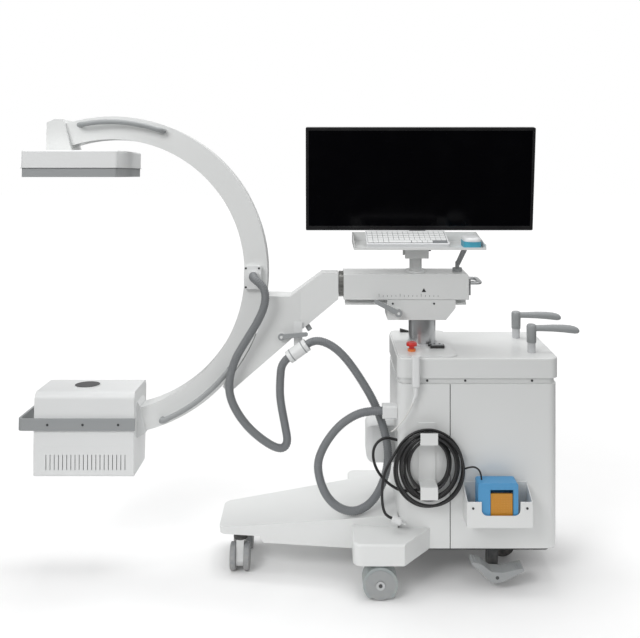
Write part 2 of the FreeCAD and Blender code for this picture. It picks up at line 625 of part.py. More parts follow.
def rail_profile(grow):
    head_low = ARM_BOTTOM - RAIL_DEPTH - grow
    head_high = ARM_BOTTOM - RAIL_DEPTH + 8 + grow
    return [(-RAIL_HALF_HEAD - grow, head_low), (RAIL_HALF_HEAD + grow, head_low),
            (RAIL_HALF_HEAD + grow, head_high), (RAIL_HALF_NECK + grow, head_high),
            (RAIL_HALF_NECK + grow, ARM_BOTTOM + 1), (-RAIL_HALF_NECK - grow, ARM_BOTTOM + 1),
            (-RAIL_HALF_NECK - grow, head_high), (-RAIL_HALF_HEAD - grow, head_high)]


SLIDE_LOCK = (SADDLE_LEFT + 38.0, SADDLE_BOTTOM + 28.0)


def arm_saddle():
    top = ARM_BOTTOM - SEAT
    slope_z = SADDLE_BOTTOM + 42
    side = [(SADDLE_LEFT, SADDLE_BOTTOM), (SADDLE_RIGHT - 34, SADDLE_BOTTOM), (SADDLE_RIGHT, slope_z),
            (SADDLE_RIGHT, top), (SADDLE_LEFT, top)]
    block = plate_xz(side, -ARM_HALF_WIDTH, ARM_HALF_WIDTH)
    block = block.makeFillet(4, edges_along(block, ALONG_Y, lambda e: e.BoundBox.ZMax < slope_z + 1))
    block = block.cut(plate_yz(rail_profile(SEAT), SADDLE_LEFT - 6, SADDLE_RIGHT + 13))
    block = block.cut(rod(SPIGOT_RADIUS + RUNNING, SPIGOT_HEIGHT + 1, (COLUMN_X, 0, SADDLE_BOTTOM - 1)))
    x, z = SLIDE_LOCK
    boss = rod(14, 12, (x, -ARM_HALF_WIDTH, z), Vec(0, -1, 0))
    pin = rod(5, 12, (x, -ARM_HALF_WIDTH - 12, z), Vec(0, -1, 0))
    save("arm_saddle", joined([block, boss, pin]))


def lever_plate(start, end, width, y0, y1, boss):
    run = Vec(end[0] - start[0], 0, end[1] - start[1])
    side = Vec(-run.z, 0, run.x)
    side.normalize()
    half = side * (width / 2)
    corners = [(start[0] + half.x, start[1] + half.z), (end[0] + half.x * 0.8, end[1] + half.z * 0.8),
               (end[0] - half.x * 0.8, end[1] - half.z * 0.8), (start[0] - half.x, start[1] - half.z)]
    bar = plate_xz(corners, y0, y1)
    hub = rod(boss, y1 - y0, (start[0], y0, start[1]), ALONG_Y)
    tip = rod(width * 0.4, y1 - y0, (end[0], y0, end[1]), ALONG_Y)
    return joined([bar, hub, tip])


def slide_lock():
    y1 = -ARM_HALF_WIDTH - 12 - SEAT
    x, z = SLIDE_LOCK
    lever = lever_plate((x, z), (x - 78, z + 40), 17, y1 - 11, y1, 13)
    save("slide_lock", lever.cut(rod(5 + RUNNING, 14, (x, y1 + 1, z), Vec(0, -1, 0))))


def sliding_arm():
    beam = box(ARM_LEFT, ARM_RIGHT, -ARM_HALF_WIDTH, ARM_HALF_WIDTH, ARM_BOTTOM, ARM_TOP)
    corner = edges_along(beam, ALONG_Y, lambda e: e.BoundBox.ZMin > ARM_TOP - 1
                         and e.BoundBox.XMin > ARM_RIGHT - 1)
    beam = beam.makeFillet(12, corner)
    long_edges = edges_along(beam, ALONG_X)
    beam = beam.makeFillet(3, long_edges)
    room = box(ARM_LEFT + ARM_WALL, ARM_RIGHT - ARM_WALL,
               -ARM_HALF_WIDTH + ARM_WALL, ARM_HALF_WIDTH - ARM_WALL,
               ARM_BOTTOM + ARM_WALL, ARM_TOP - ARM_WALL)
    beam = beam.cut(room)
    beam = beam.cut(rod(SHAFT_RADIUS + RUNNING, ARM_WALL + 2, (ARM_LEFT - 1, 0, TURN_Z), ALONG_X))
    beam = beam.cut(rod(20, ARM_WALL + 2, (ARM_RIGHT - ARM_WALL - 1, 0, TURN_Z), ALONG_X))
    rail = plate_yz(rail_profile(0), ARM_LEFT + 6, ARM_RIGHT - 5)
    beam = joined([beam, rail])
    beam = beam.cut(rod(5 + RUNNING, 12, (LOCK_X, 0, ARM_TOP - 11)))
    save("sliding_arm", beam)


def turn_bearing():
    ring = rod(RING_RADIUS, RING_WIDTH, (ARM_LEFT - RING_WIDTH, 0, TURN_Z), ALONG_X)
    for step in range(3):
        start = ARM_LEFT - RING_WIDTH + 3 + 5 * step
        groove = rod(RING_RADIUS + 1, 2, (start, 0, TURN_Z), ALONG_X)
        ring = ring.cut(groove.cut(rod(RING_RADIUS - 3, 2, (start, 0, TURN_Z), ALONG_X)))
    bore = rod(SHAFT_RADIUS + RUNNING, RING_WIDTH, (ARM_LEFT - RING_WIDTH, 0, TURN_Z), ALONG_X)
    save("turn_bearing", ring.cut(bore))


def push_handle():
    half = ARM_HALF_WIDTH - 13
    z = ARM_TOP - 34
    start = ARM_RIGHT + 5
    end = ARM_RIGHT + 43
    plate = box(ARM_RIGHT, ARM_RIGHT + 6, -half - 10, half + 10, ARM_BOTTOM + 16, z + 16)
    wire = bent_path([(start, -half, z), (end, -half, z), (end, half, z), (start, half, z)])[0]
    ring = Part.Wire(Part.makeCircle(7, Vec(start, -half, z), ALONG_X))
    save("push_handle", joined([plate, wire.makePipeShell([ring], True, False)]))


def console_post():
    flange = rod(38, 6, (POST_X, 0, ARM_TOP))
    post = rod(POST_RADIUS, POST_TOP - ARM_TOP, (POST_X, 0, ARM_TOP))
    spigot = rod(POST_SPIGOT, SPIGOT_RISE, (POST_X, 0, POST_TOP))
    save("console_post", joined([flange, post, spigot]))


def swivel_lock():
    base = ARM_TOP + SEAT
    peg = rod(5, 8, (LOCK_X, 0, base - 8))
    knob = rod(17, 12, (LOCK_X, 0, base))
    neck = rod(7, 22, (LOCK_X, 0, base + 12))
    corners = [(-7, 26), (7, 20), (34, 75), (28, 83), (18, 81)]
    lever = plate_xz([(LOCK_X + x, base + z) for x, z in corners], -6, 6)
    lever = lever.makeFillet(3, edges_along(lever, ALONG_Y))
    save("swivel_lock", joined([peg, knob, neck, lever]))


# Carrier with the parts that stay on it

def carrier_side(radius):
    seat = ARC_OUTER + CARRIER_GAP
    high_angle = math.degrees(math.asin((CARRIER_SHELF - ARC_Z) / seat))
    steps = 12
    shoulder = CARRIER_TOP - CARRIER_SHELF
    points = [(CARRIER_RIGHT, CARRIER_TOP), (CARRIER_RIGHT - 58, CARRIER_TOP),
              (CARRIER_RIGHT - 58 - 1.38 * shoulder, CARRIER_SHELF)]
    for step in range(steps + 1):
        angle = high_angle + (CARRIER_LOW_ANGLE - high_angle) * step / steps
        spot = arc_point(radius, angle)
        points.append((spot.x, spot.z))
    toe = arc_point(seat + 31, CARRIER_LOW_ANGLE - 0.6)
    points += [(toe.x, toe.z), (CARRIER_RIGHT - 147, CARRIER_TOP - 212),
               (CARRIER_RIGHT, CARRIER_TOP - CARRIER_NECK)]
    return points


def c_carrier():
    seat = ARC_OUTER + CARRIER_GAP
    block = plate_xz(carrier_side(seat - 20), -CARRIER_HALF_WIDE, CARRIER_HALF_WIDE)
    drum = rod(seat, 2 * CARRIER_HALF_WIDE, (ARC_X, -CARRIER_HALF_WIDE, ARC_Z), ALONG_Y)
    block = block.cut(drum)
    wide_x = CARRIER_RIGHT - 193
    outside = CARRIER_HALF_WIDE + 20
    slope = [(wide_x, CARRIER_HALF_WIDE), (wide_x + 60, CARRIER_HALF_SLIM),
             (CARRIER_RIGHT + 7, CARRIER_HALF_SLIM),
             (CARRIER_RIGHT + 7, outside), (wide_x, outside)]
    trim = plate_xy(slope, ARC_Z - ARC_OUTER, CARRIER_TOP + 30)
    block = block.cut(trim).cut(mirrored(trim))
    corners = edges_along(block, ALONG_Y, lambda e: e.BoundBox.XMin > ARC_X + 0.86 * ARC_OUTER)
    block = block.makeFillet(3, corners)
    shaft = rod(SHAFT_RADIUS, SHAFT_LENGTH, (CARRIER_RIGHT - 5, 0, TURN_Z), ALONG_X)
    boss = rod(12, 8, (ORBIT_LOCK[0], -CARRIER_HALF_WIDE + 1, ORBIT_LOCK[1]), Vec(0, -1, 0))
    pin = rod(5, 20, (ORBIT_LOCK[0], -CARRIER_HALF_WIDE + 1, ORBIT_LOCK[1]), Vec(0, -1, 0))
    save("c_carrier", leaned(joined([block, shaft, boss, pin])))


ORBIT_LOCK = (CARRIER_RIGHT - 200.0, CARRIER_TOP - 218.0)


def guide_shoes():
    seat = ARC_OUTER + CARRIER_GAP
    floor = ARC_OUTER - GROOVE_DEPTH + 2
    shoes = []
    for angle in SHOE_ANGLES:
        shoe = arc_band(floor, seat, angle - 3, angle + 3, -GROOVE_HALF_WIDTH + 1, GROOVE_HALF_WIDTH - 1)
        shoes.append(leaned(shoe))
    save("guide_shoes", *shoes)


def orbit_lock():
    y1 = -CARRIER_HALF_WIDE - 7 - SEAT
    x, z = ORBIT_LOCK
    lever = lever_plate((x, z), (x + 86, z + 9), 17, y1 - 9, y1, 12)
    save("orbit_lock", leaned(lever.cut(rod(5 + RUNNING, 12, (x, y1 + 1, z), Vec(0, -1, 0)))))


CLAMP = (CARRIER_RIGHT - 142.0, -CARRIER_HALF_SLIM - 30.0, CARRIER_TOP - 265.0)
CLAMP_AXIS = (0.817, 0.0, 0.577)
CLAMP_LENGTH = 78.0


def clamp_end(sign, extra=0.0):
    reach = sign * (CLAMP_LENGTH / 2 + extra)
    return tuple(c + reach * a for c, a in zip(CLAMP, CLAMP_AXIS))


def hose_clamp():
    body = rod(23, CLAMP_LENGTH, clamp_end(-1), Vec(*CLAMP_AXIS))
    bracket = box(CLAMP[0] - 15, CLAMP[0] + 15, -CARRIER_HALF_SLIM - 8, -CARRIER_HALF_SLIM - 3,
                  CLAMP[2], CLAMP[2] + 96)
    save("hose_clamp", leaned(joined([body, bracket])))


# The arc and its two heads

def c_arc():
    band = arc_band(ARC_INNER, ARC_OUTER, ARC_LOW_ANGLE, ARC_HIGH_ANGLE, -ARC_HALF_WIDTH, ARC_HALF_WIDTH)
    groove = arc_band(ARC_OUTER - GROOVE_DEPTH, ARC_OUTER + 5, ARC_LOW_ANGLE - 1, ARC_HIGH_ANGLE + 1,
                      -GROOVE_HALF_WIDTH, GROOVE_HALF_WIDTH)
    room_half = ARC_HALF_WIDTH - ARC_WALL
    room = arc_band(ARC_INNER + ARC_WALL, ARC_OUTER - GROOVE_DEPTH - ARC_WALL, -60, ARC_HIGH_ANGLE + 1,
                    -room_half, room_half)
    save("c_arc", leaned(band.cut(groove).cut(room)))


def rail(radius, low, high, sign):
    foot_y = sign * (ARC_HALF_WIDTH - 1)
    y = sign * (ARC_HALF_WIDTH + RAIL_STAND)
    angles = [low + (high - low) * step / 4 for step in range(5)]
    points = [arc_point(radius, low, foot_y)] + [arc_point(radius, a, y) for a in angles]
    points.append(arc_point(radius, high, foot_y))
    wire = bent_path([(p.x, p.y, p.z) for p in points])[0]
    ring = Part.Wire(Part.makeCircle(RAIL_THICK, points[0], ALONG_Y))
    return wire.makePipeShell([ring], True, False)


def grab_rails():
    rails = [leaned(rail(RAIL_RADIUS, low, high, sign)) for sign in (-1, 1) for low, high in RAIL_SPANS]
    save("grab_rails", *rails)


def cable_plate():
    front = -ARC_HALF_WIDTH - PLATE_THICK
    plate = box(PLATE_RIGHT - 60, PLATE_RIGHT, front, -ARC_HALF_WIDTH, PLATE_Z - 40, PLATE_Z + 40)
    plate = plate.makeFillet(5, edges_along(plate, ALONG_Y))
    gland = rod(17, GLAND_LENGTH, (GLAND[0], front, GLAND[2]), Vec(0, -1, 0))
    save("cable_plate", leaned(joined([plate, gland])))


GLAND = (PLATE_RIGHT - 26.0, -ARC_HALF_WIDTH - PLATE_THICK - GLAND_LENGTH, PLATE_Z + 7.0)


def detector():
    end = math.radians(ARC_HIGH_ANGLE)
    lean = math.cos(end) / math.sin(end)
    right_low = ARC_X + (DETECTOR_TOP - ARC_Z) * lean
    right_high = ARC_X + (MOUNT_TOP - ARC_Z) * lean
    left = right_high - 56
    side = [(left, DETECTOR_TOP), (right_low, DETECTOR_TOP), (right_high, MOUNT_TOP), (left + 27, MOUNT_TOP),
            (left, MOUNT_TOP - 12)]
    mount = plate_xz(side, -65, 65)
    mount = mount.makeFillet(3, edges_along(mount, ALONG_Y, lambda e: e.BoundBox.XMax < left + 30))
    save("detector_mount", leaned(mount))
    cover = rounded(DETECTOR_LEFT, DETECTOR_RIGHT, -DETECTOR_HALF, DETECTOR_HALF,
                    DETECTOR_SPLIT, DETECTOR_TOP, 10)
    cover = cover.makeFillet(6, [e for e in cover.Edges if e.BoundBox.ZMin > DETECTOR_TOP - 0.1])
    save("detector_cover", leaned(cover))
    panel = rounded(DETECTOR_LEFT + 2, DETECTOR_RIGHT - 2, -DETECTOR_HALF + 2, DETECTOR_HALF - 2,
                    DETECTOR_BOTTOM, DETECTOR_SPLIT, 9)
    save("detector_panel", leaned(panel))


SLOT_COUNT = 20
SLOT_PITCH = 14.3
SLOT_FIRST = TUBE_LEFT + 42.0
SLOT_LOW = TUBE_BOTTOM + 24.0
SLOT_HIGH = SLOT_LOW + 53.0
WINDOW_X = TUBE_LEFT + 155.0


def tube_housing():
    half = TUBE_HALF
    low_half = half - 6
    end = [(-low_half, TUBE_BOTTOM), (low_half, TUBE_BOTTOM), (half, TUBE_CREASE), (half, TUBE_TOP),
           (-half, TUBE_TOP), (-half, TUBE_CREASE)]
    body = plate_yz(end, TUBE_LEFT, TUBE_RIGHT)
    top_edges = edges_along(body, ALONG_X, lambda e: e.BoundBox.ZMin > TUBE_TOP - 1)
    body = body.makeFillet(25, top_edges)
    body = body.makeFillet(12, edges_along(body, ALONG_X, lambda e: e.BoundBox.ZMax < TUBE_BOTTOM + 1))
    for step in range(SLOT_COUNT):
        x = SLOT_FIRST + SLOT_PITCH * step
        body = body.cut(box(x, x + 2.5, -half - 1, -low_half + 4, SLOT_LOW, SLOT_HIGH))
    window = rod(46, 3, (WINDOW_X, 0, TUBE_TOP))
    window = window.cut(rod(40, 1, (WINDOW_X, 0, TUBE_TOP + 2)))
    inner = arc_point(ARC_INNER - 6, ARC_LOW_ANGLE)
    outer = arc_point(ARC_OUTER + 5, ARC_LOW_ANGLE)
    half_mount = ARC_HALF_WIDTH + 5
    mount = plate_xz([(TUBE_RIGHT, inner.z + 15), (inner.x, inner.z), (outer.x, outer.z),
                      (TUBE_RIGHT, outer.z - 20)], -half_mount, half_mount)
    save("tube_housing", leaned(joined([body, mount])), leaned(window))


def tube_bumper():
    left = TUBE_LEFT - 55
    thick = BUMPER_THICK
    outer_half = TUBE_HALF + thick
    inner = rounded(left + thick, TUBE_RIGHT + 73, -TUBE_HALF, TUBE_HALF, BUMPER_LOW, BUMPER_HIGH, 12)
    outer = rounded(left, TUBE_RIGHT + 83, -outer_half, outer_half, BUMPER_LOW, BUMPER_HIGH, 12 + thick)
    keep = box(left - 8, TUBE_RIGHT + 5, -outer_half - 1, outer_half + 1, BUMPER_LOW - 1, BUMPER_HIGH + 1)
    save("tube_bumper", leaned(outer.cut(inner).common(keep)))


# Console with tray, keyboard, mouse and screen

KEYS_REAR = TRAY_FRONT + 136.0


def console_tray():
    x0, x1, y0, y1 = TRAY_LEFT, TRAY_RIGHT, TRAY_FRONT, TRAY_BACK
    floor = TRAY_FLOOR
    deck = box(x0, x1, y0, y1, floor, floor + TRAY_THICK)
    cheek = [(y0, floor), (y1, floor), (y1, floor + 36), (y0 + 30, floor + 18), (y0, floor + 18)]
    left = plate_yz(cheek, x0, x0 + 3)
    right = left.translated(Vec(x1 - x0 - 3, 0, 0))
    back = box(x0, x1, y1 - 3, y1, floor, floor + 36)
    front = box(x0, x1, y0, y0 + 3, floor, floor + 8)
    rest_x = x0 + 56
    rest = box(rest_x, rest_x + 260, KEYS_REAR - 16, KEYS_REAR - 10, floor, floor + 26)
    web_top = floor - 8
    half = CHANNEL_HALF
    roof = box(POST_X - half, POST_X + half, -half, half, web_top, floor)
    webs = [box(POST_X - half, POST_X + half, y, y + 5, POST_TOP + 1, web_top) for y in (-half, half - 5)]
    hub = rod(POST_SPIGOT + 9, web_top - POST_TOP - 1, (POST_X, 0, POST_TOP + 1))
    whole = joined([deck, left, right, back, front, rest, roof, hub] + webs)
    bore = rod(POST_SPIGOT + RUNNING, SPIGOT_RISE + 1, (POST_X, 0, POST_TOP + 0.5))
    save("console_tray", whole.cut(bore))


def keyboard_and_mouse():
    base = TRAY_FLOOR + TRAY_THICK
    left = TRAY_LEFT + 44
    front = TRAY_FRONT + 15
    keys = box(left, left + KEYBOARD_LENGTH, front, front + KEYBOARD_DEPTH, base + SEAT, base + SEAT + 16)
    keys = keys.makeFillet(5, edges_along(keys, UP))
    keys.rotate(Vec(left, front, base + SEAT), ALONG_X, KEYBOARD_TILT)
    mouse_x = TRAY_RIGHT - 70
    mouse = rounded(mouse_x, mouse_x + 60, TRAY_FRONT + 20, TRAY_FRONT + 120, base, base + 35, 24)
    mouse = mouse.makeFillet(12, [e for e in mouse.Edges if e.BoundBox.ZMin > base + 34])
    save("keyboard_and_mouse", keys, mouse)


def monitor_bracket():
    low = POST_TOP + 14
    back = TILT_Y + 25
    arm = box(POST_X - 19, SCREEN_X + 40, CHANNEL_HALF, back, low, low + 10)
    stand = box(SCREEN_X - 30, SCREEN_X + 30, back - 8, back, low, SCREEN_Z + 20)
    lugs = []
    for x in (SCREEN_X - 30, SCREEN_X + 20):
        lugs.append(box(x, x + 10, TILT_Y, back - 5, SCREEN_Z - 12, SCREEN_Z + 12))
        lugs.append(rod(12, 10, (x, TILT_Y, SCREEN_Z), ALONG_X))
    pin = rod(TILT_PIN, 60, (SCREEN_X - 30, TILT_Y, SCREEN_Z), ALONG_X)
    save("monitor_bracket", joined([arm, stand, pin] + lugs))


def monitor():
    y0 = SCREEN_FRONT
    left = SCREEN_X - SCREEN_WIDTH / 2
    right = SCREEN_X + SCREEN_WIDTH / 2
    low = SCREEN_Z - SCREEN_HEIGHT / 2
    high = SCREEN_Z + SCREEN_HEIGHT / 2
    slab = box(left, right, y0, y0 + 20, low, high)
    slab = slab.makeFillet(5, edges_along(slab, ALONG_Y))
    glass = box(left + 10, right - 10, y0 - 1, y0 + 0.6, low + 16, high - 10)
    bulge = box(SCREEN_X - 230, SCREEN_X + 230, y0 + 18, y0 + 42, SCREEN_Z - 110, SCREEN_Z + 110)
    bulge = bulge.makeFillet(14, [e for e in bulge.Edges if e.BoundBox.YMin > y0 + 41])
    knuckle = joined([box(SCREEN_X - 18, SCREEN_X + 18, y0 + 40, TILT_Y, SCREEN_Z - 11, SCREEN_Z + 11),
                      rod(11, 36, (SCREEN_X - 18, TILT_Y, SCREEN_Z), ALONG_X)])
    whole = joined([slab.cut(glass), bulge, knuckle])
    whole = whole.cut(rod(TILT_PIN + RUNNING, 36, (SCREEN_X - 18, TILT_Y, SCREEN_Z), ALONG_X))
    whole.rotate(Vec(0, TILT_Y, SCREEN_Z), ALONG_X, SCREEN_TILT)
    save("monitor", whole)


# Hoses and cords. The same corner points, in metres, shape the cords of the visual scene.

def lean_point(point):
    angle = math.radians(LEAN_DEGREES)
    x, y, z = point
    rise = z - TURN_Z
    return (x, y * math.cos(angle) - rise * math.sin(angle),
            TURN_Z + y * math.sin(angle) + rise * math.cos(angle))


INLET_Y = -133.0
INLET_Z = 565.0

UPPER_RUN = [(-122, -120, 985), (-120, -120, 929), (-147, -120, 867), (-189, -122, 801), (-225, -125, 741),
             (-246, -128, 671), (-243, -124, 601), (-197, -113, 516), (-133, -104, 453), (-71, -100, 417),
             (-42, -98, 437), (-54, -96, 502), (-72, -95, 595), (-71, -96, 663)]

LOWER_RUN = [(103, -92, 784), (155, -92, 740), (211, -92, 661), (263, -91, 571), (298, -91, 466),
             (308, -95, 387), (290, -105, 308), (244, -125, 238), (170, -148, 218), (92, -152, 266),
             (56, -152, 369), (71, -147, 435), (126, -140, 512), (192, -135, 555), (247, INLET_Y, INLET_Z),
             (282, INLET_Y, INLET_Z)]

TAIL_RUN = [(294, -205, 440), (279, -207, 405), (275, -207, 350), (275, -208, 295), (281, -208, 256),
            (292, -208, 239), (308, -208, 232)]

SWITCH_RUN = [(391, -191, 668), (390, -193, 640), (374, -196, 595), (345, -197, 552), (318, -184, 518),
              (309, -158, 502), (316, -134, 497), (332, -127, 497)]

PEDAL_LEAD = [(606, -222, 367), (605, -221, 390), (590, -215, 406), (568, -208, 403), (553, -205, 396)]

COIL_RADIUS = 137.5
COIL_X = HOOK_LEFT + 20.0
COIL_Z = HOOK_LOW + 49.0
COIL_BACK = NEAR_FACE - 8.0
COIL_THICK = 46.0


def hoses():
    gland_end = (GLAND[0], -ARC_HALF_WIDTH - 24 - 14, GLAND[2])
    gland_out = (GLAND[0], gland_end[1] - 32, GLAND[2])
    start = [lean_point(gland_end), lean_point(gland_out)]
    finish = [lean_point(clamp_end(-1, 30)), lean_point(clamp_end(-1))]
    save("hose_upper", cord("hose_upper", start + UPPER_RUN + finish, HOSE_RADIUS))
    start = [lean_point(clamp_end(1)), lean_point(clamp_end(1, 30))]
    save("hose_lower", cord("hose_lower", start + LOWER_RUN, HOSE_RADIUS))


def power_cord():
    disc = rod(COIL_RADIUS, COIL_THICK, (COIL_X, COIL_BACK, COIL_Z), Vec(0, -1, 0))
    disc = disc.makeFillet(14, [e for e in disc.Edges if abs(e.Length - 2 * math.pi * COIL_RADIUS) < 0.1])
    hole = box(COIL_X - 55.5, COIL_X + 55.5, COIL_BACK - COIL_THICK - 1, COIL_BACK + 1,
               HOOK_LOW - 3, HOOK_HIGH + SEAT)
    hole = hole.makeFillet(28, [e for e in edges_along(hole, ALONG_Y) if e.BoundBox.ZMax < HOOK_LOW - 2])
    save("power_coil", disc.cut(hole))
    save("power_tail", cord("power_tail", TAIL_RUN, POWER_RADIUS))
    end = Vec(*TAIL_RUN[-1])
    along = end.sub(Vec(*TAIL_RUN[-2]))
    along.normalize()
    body = Part.makeCylinder(13, 34, end, along)
    body = body.makeFillet(4, [e for e in body.Edges if len(e.Vertexes) == 1])
    pins = []
    for y in (-5, 5):
        pins.append(Part.makeCylinder(2, 52, end.add(Vec(0, y, 0)), along))
    save("power_plug", joined([body] + pins))


def handswitch():
    x = SWITCH_RUN[0][0]
    low = SWITCH_RUN[0][2]
    high = LID_TOP + 11
    grip = box(x - 13, x + 13, NEAR_FACE - 28, NEAR_FACE - 2, low, high)
    grip = grip.makeFillet(8, edges_along(grip, UP))
    clip = box(x - 9, x + 9, NEAR_FACE - 4, NEAR_FACE, LID_BOTTOM + 10, LID_TOP - 18)
    save("handswitch", joined([grip, clip]))
    save("handswitch_cord", cord("handswitch_cord", SWITCH_RUN, THIN_RADIUS))
    save("footswitch_cord", cord("footswitch_cord", PEDAL_LEAD, 3.0))


base_frame()
front_leg()
outriggers()
wheel_hoods()
main_wheels()
front_casters()
rear_caster()
brake_pedal()
cabinet_shell()
side_panels()
cabinet_lid()
lid_fittings()
lid_controls()
cabinet_internals()
hose_inlet()
cable_hooks()
pedal_bin()
footswitch()
lift_column()
arm_saddle()
slide_lock()
sliding_arm()
turn_bearing()
push_handle()
console_post()
swivel_lock()
c_carrier()
guide_shoes()
orbit_lock()
hose_clamp()
c_arc()
grab_rails()
cable_plate()
detector()
tube_housing()
tube_bumper()
console_tray()
keyboard_and_mouse()
monitor_bracket()
monitor()
hoses()
power_cord()
handswitch()
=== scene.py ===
import bpy
import json
import math
from mathutils import Matrix, Vector


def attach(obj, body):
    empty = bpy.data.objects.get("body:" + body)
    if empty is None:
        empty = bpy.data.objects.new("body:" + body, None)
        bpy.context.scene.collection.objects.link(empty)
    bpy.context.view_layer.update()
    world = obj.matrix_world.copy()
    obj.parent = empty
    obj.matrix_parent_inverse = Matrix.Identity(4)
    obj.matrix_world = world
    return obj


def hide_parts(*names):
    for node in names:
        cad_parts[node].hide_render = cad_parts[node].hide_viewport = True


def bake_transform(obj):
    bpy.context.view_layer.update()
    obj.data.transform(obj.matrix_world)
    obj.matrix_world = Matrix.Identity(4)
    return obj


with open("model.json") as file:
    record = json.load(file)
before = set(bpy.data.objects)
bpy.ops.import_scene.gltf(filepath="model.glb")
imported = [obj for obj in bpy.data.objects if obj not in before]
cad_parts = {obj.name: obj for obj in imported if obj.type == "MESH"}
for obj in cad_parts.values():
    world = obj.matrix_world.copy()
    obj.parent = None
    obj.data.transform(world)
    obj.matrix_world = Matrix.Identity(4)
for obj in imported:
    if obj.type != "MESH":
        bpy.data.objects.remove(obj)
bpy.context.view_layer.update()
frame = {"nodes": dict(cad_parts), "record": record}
nodes = frame["nodes"]

# The c group leans about a line along the machine at this height
LEAN = math.radians(-3.8)
TURN_Z = 0.976

# The hose clamp's middle and the direction of its hoses, before the lean
CLAMP_MIDDLE = (-0.009, -0.080, 0.754)
CLAMP_AXIS = (0.817, 0, 0.577)

# Hoses and cords
HOSE_RADIUS = 0.015
HOSE_GROOVE = 0.0022
HOSE_PITCH = 0.0062
POWER_RADIUS = 0.00475
SWITCH_RADIUS = 0.0025
FOOT_RADIUS = 0.003


# Shared shader groups

def group_with(name, inputs, outputs):
    group = bpy.data.node_groups.new(name, "ShaderNodeTree")
    for label, kind, value in inputs:
        socket = group.interface.new_socket(name=label, in_out="INPUT", socket_type=kind)
        if value is not None:
            socket.default_value = value
    for label, kind in outputs:
        group.interface.new_socket(name=label, in_out="OUTPUT", socket_type=kind)
    entry = group.nodes.new("NodeGroupInput")
    leave = group.nodes.new("NodeGroupOutput")
    return group, entry, leave


def noise(tree, place, scale, detail=2.0):
    node = tree.nodes.new("ShaderNodeTexNoise")
    node.inputs["Scale"].default_value = scale
    node.inputs["Detail"].default_value = detail
    tree.links.new(place, node.inputs["Vector"])
    return node.outputs["Fac"]


def ramp(tree, value, low, high, to_low, to_high):
    node = tree.nodes.new("ShaderNodeMapRange")
    node.inputs["From Min"].default_value = low
    node.inputs["From Max"].default_value = high
    node.inputs["To Min"].default_value = to_low
    node.inputs["To Max"].default_value = to_high
    tree.links.new(value, node.inputs["Value"])
    return node.outputs["Result"]


def blend_colour(tree, factor, first, second):
    node = tree.nodes.new("ShaderNodeMix")
    node.data_type = "RGBA"
    for source, slot in ((factor, 0), (first, 6), (second, 7)):
        if isinstance(source, bpy.types.NodeSocket):
            tree.links.new(source, node.inputs[slot])
        else:
            node.inputs[slot].default_value = source
    return node.outputs[2]


def math_node(tree, kind, first, second):
    node = tree.nodes.new("ShaderNodeMath")
    node.operation = kind
    for slot, source in enumerate((first, second)):
        if isinstance(source, bpy.types.NodeSocket):
            tree.links.new(source, node.inputs[slot])
        else:
            node.inputs[slot].default_value = source
    return node.outputs[0]


def make_wear_group():
    # Faint unevenness of colour, dust low down, fine grain and smudges in the gloss.
    inputs = [("Colour", "NodeSocketColor", None), ("Roughness", "NodeSocketFloat", 0.4),
              ("Uneven", "NodeSocketFloat", 0.05), ("Grain", "NodeSocketFloat", 700.0),
              ("Bump", "NodeSocketFloat", 0.05), ("Dust", "NodeSocketFloat", 0.25)]
    outputs = [("Colour", "NodeSocketColor"), ("Roughness", "NodeSocketFloat"),
               ("Normal", "NodeSocketVector")]
    group, entry, leave = group_with("surface wear", inputs, outputs)
    place = group.nodes.new("ShaderNodeTexCoord").outputs["Object"]
    broad = ramp(group, noise(group, place, 5.0, 3.0), 0.3, 0.7, 0.0, 1.0)
    amount = math_node(group, "MULTIPLY", broad, entry.outputs["Uneven"])
    tinted = blend_colour(group, amount, entry.outputs["Colour"], (0.30, 0.29, 0.26, 1.0))
    parts = group.nodes.new("ShaderNodeSeparateXYZ")
    group.links.new(place, parts.inputs[0])
    low = ramp(group, parts.outputs["Z"], 0.0, 0.16, 1.0, 0.0)
    speckle = ramp(group, noise(group, place, 60.0, 4.0), 0.35, 0.75, 0.0, 1.0)
    dust = math_node(group, "MULTIPLY", math_node(group, "MULTIPLY", low, speckle), entry.outputs["Dust"])
    dusty = blend_colour(group, dust, tinted, (0.46, 0.44, 0.40, 1.0))
    smudge = ramp(group, noise(group, place, 14.0, 5.0), 0.35, 0.7, -0.04, 0.08)
    rough = math_node(group, "ADD", entry.outputs["Roughness"], smudge)
    bump = group.nodes.new("ShaderNodeBump")
    bump.inputs["Distance"].default_value = 0.0006
    grain = group.nodes.new("ShaderNodeTexNoise")
    group.links.new(place, grain.inputs["Vector"])
    group.links.new(entry.outputs["Grain"], grain.inputs["Scale"])
    group.links.new(grain.outputs["Fac"], bump.inputs["Height"])
    group.links.new(entry.outputs["Bump"], bump.inputs["Strength"])
    group.links.new(dusty, leave.inputs["Colour"])
    group.links.new(math_node(group, "ADD", rough, dust), leave.inputs["Roughness"])
    group.links.new(bump.outputs["Normal"], leave.inputs["Normal"])
    return group


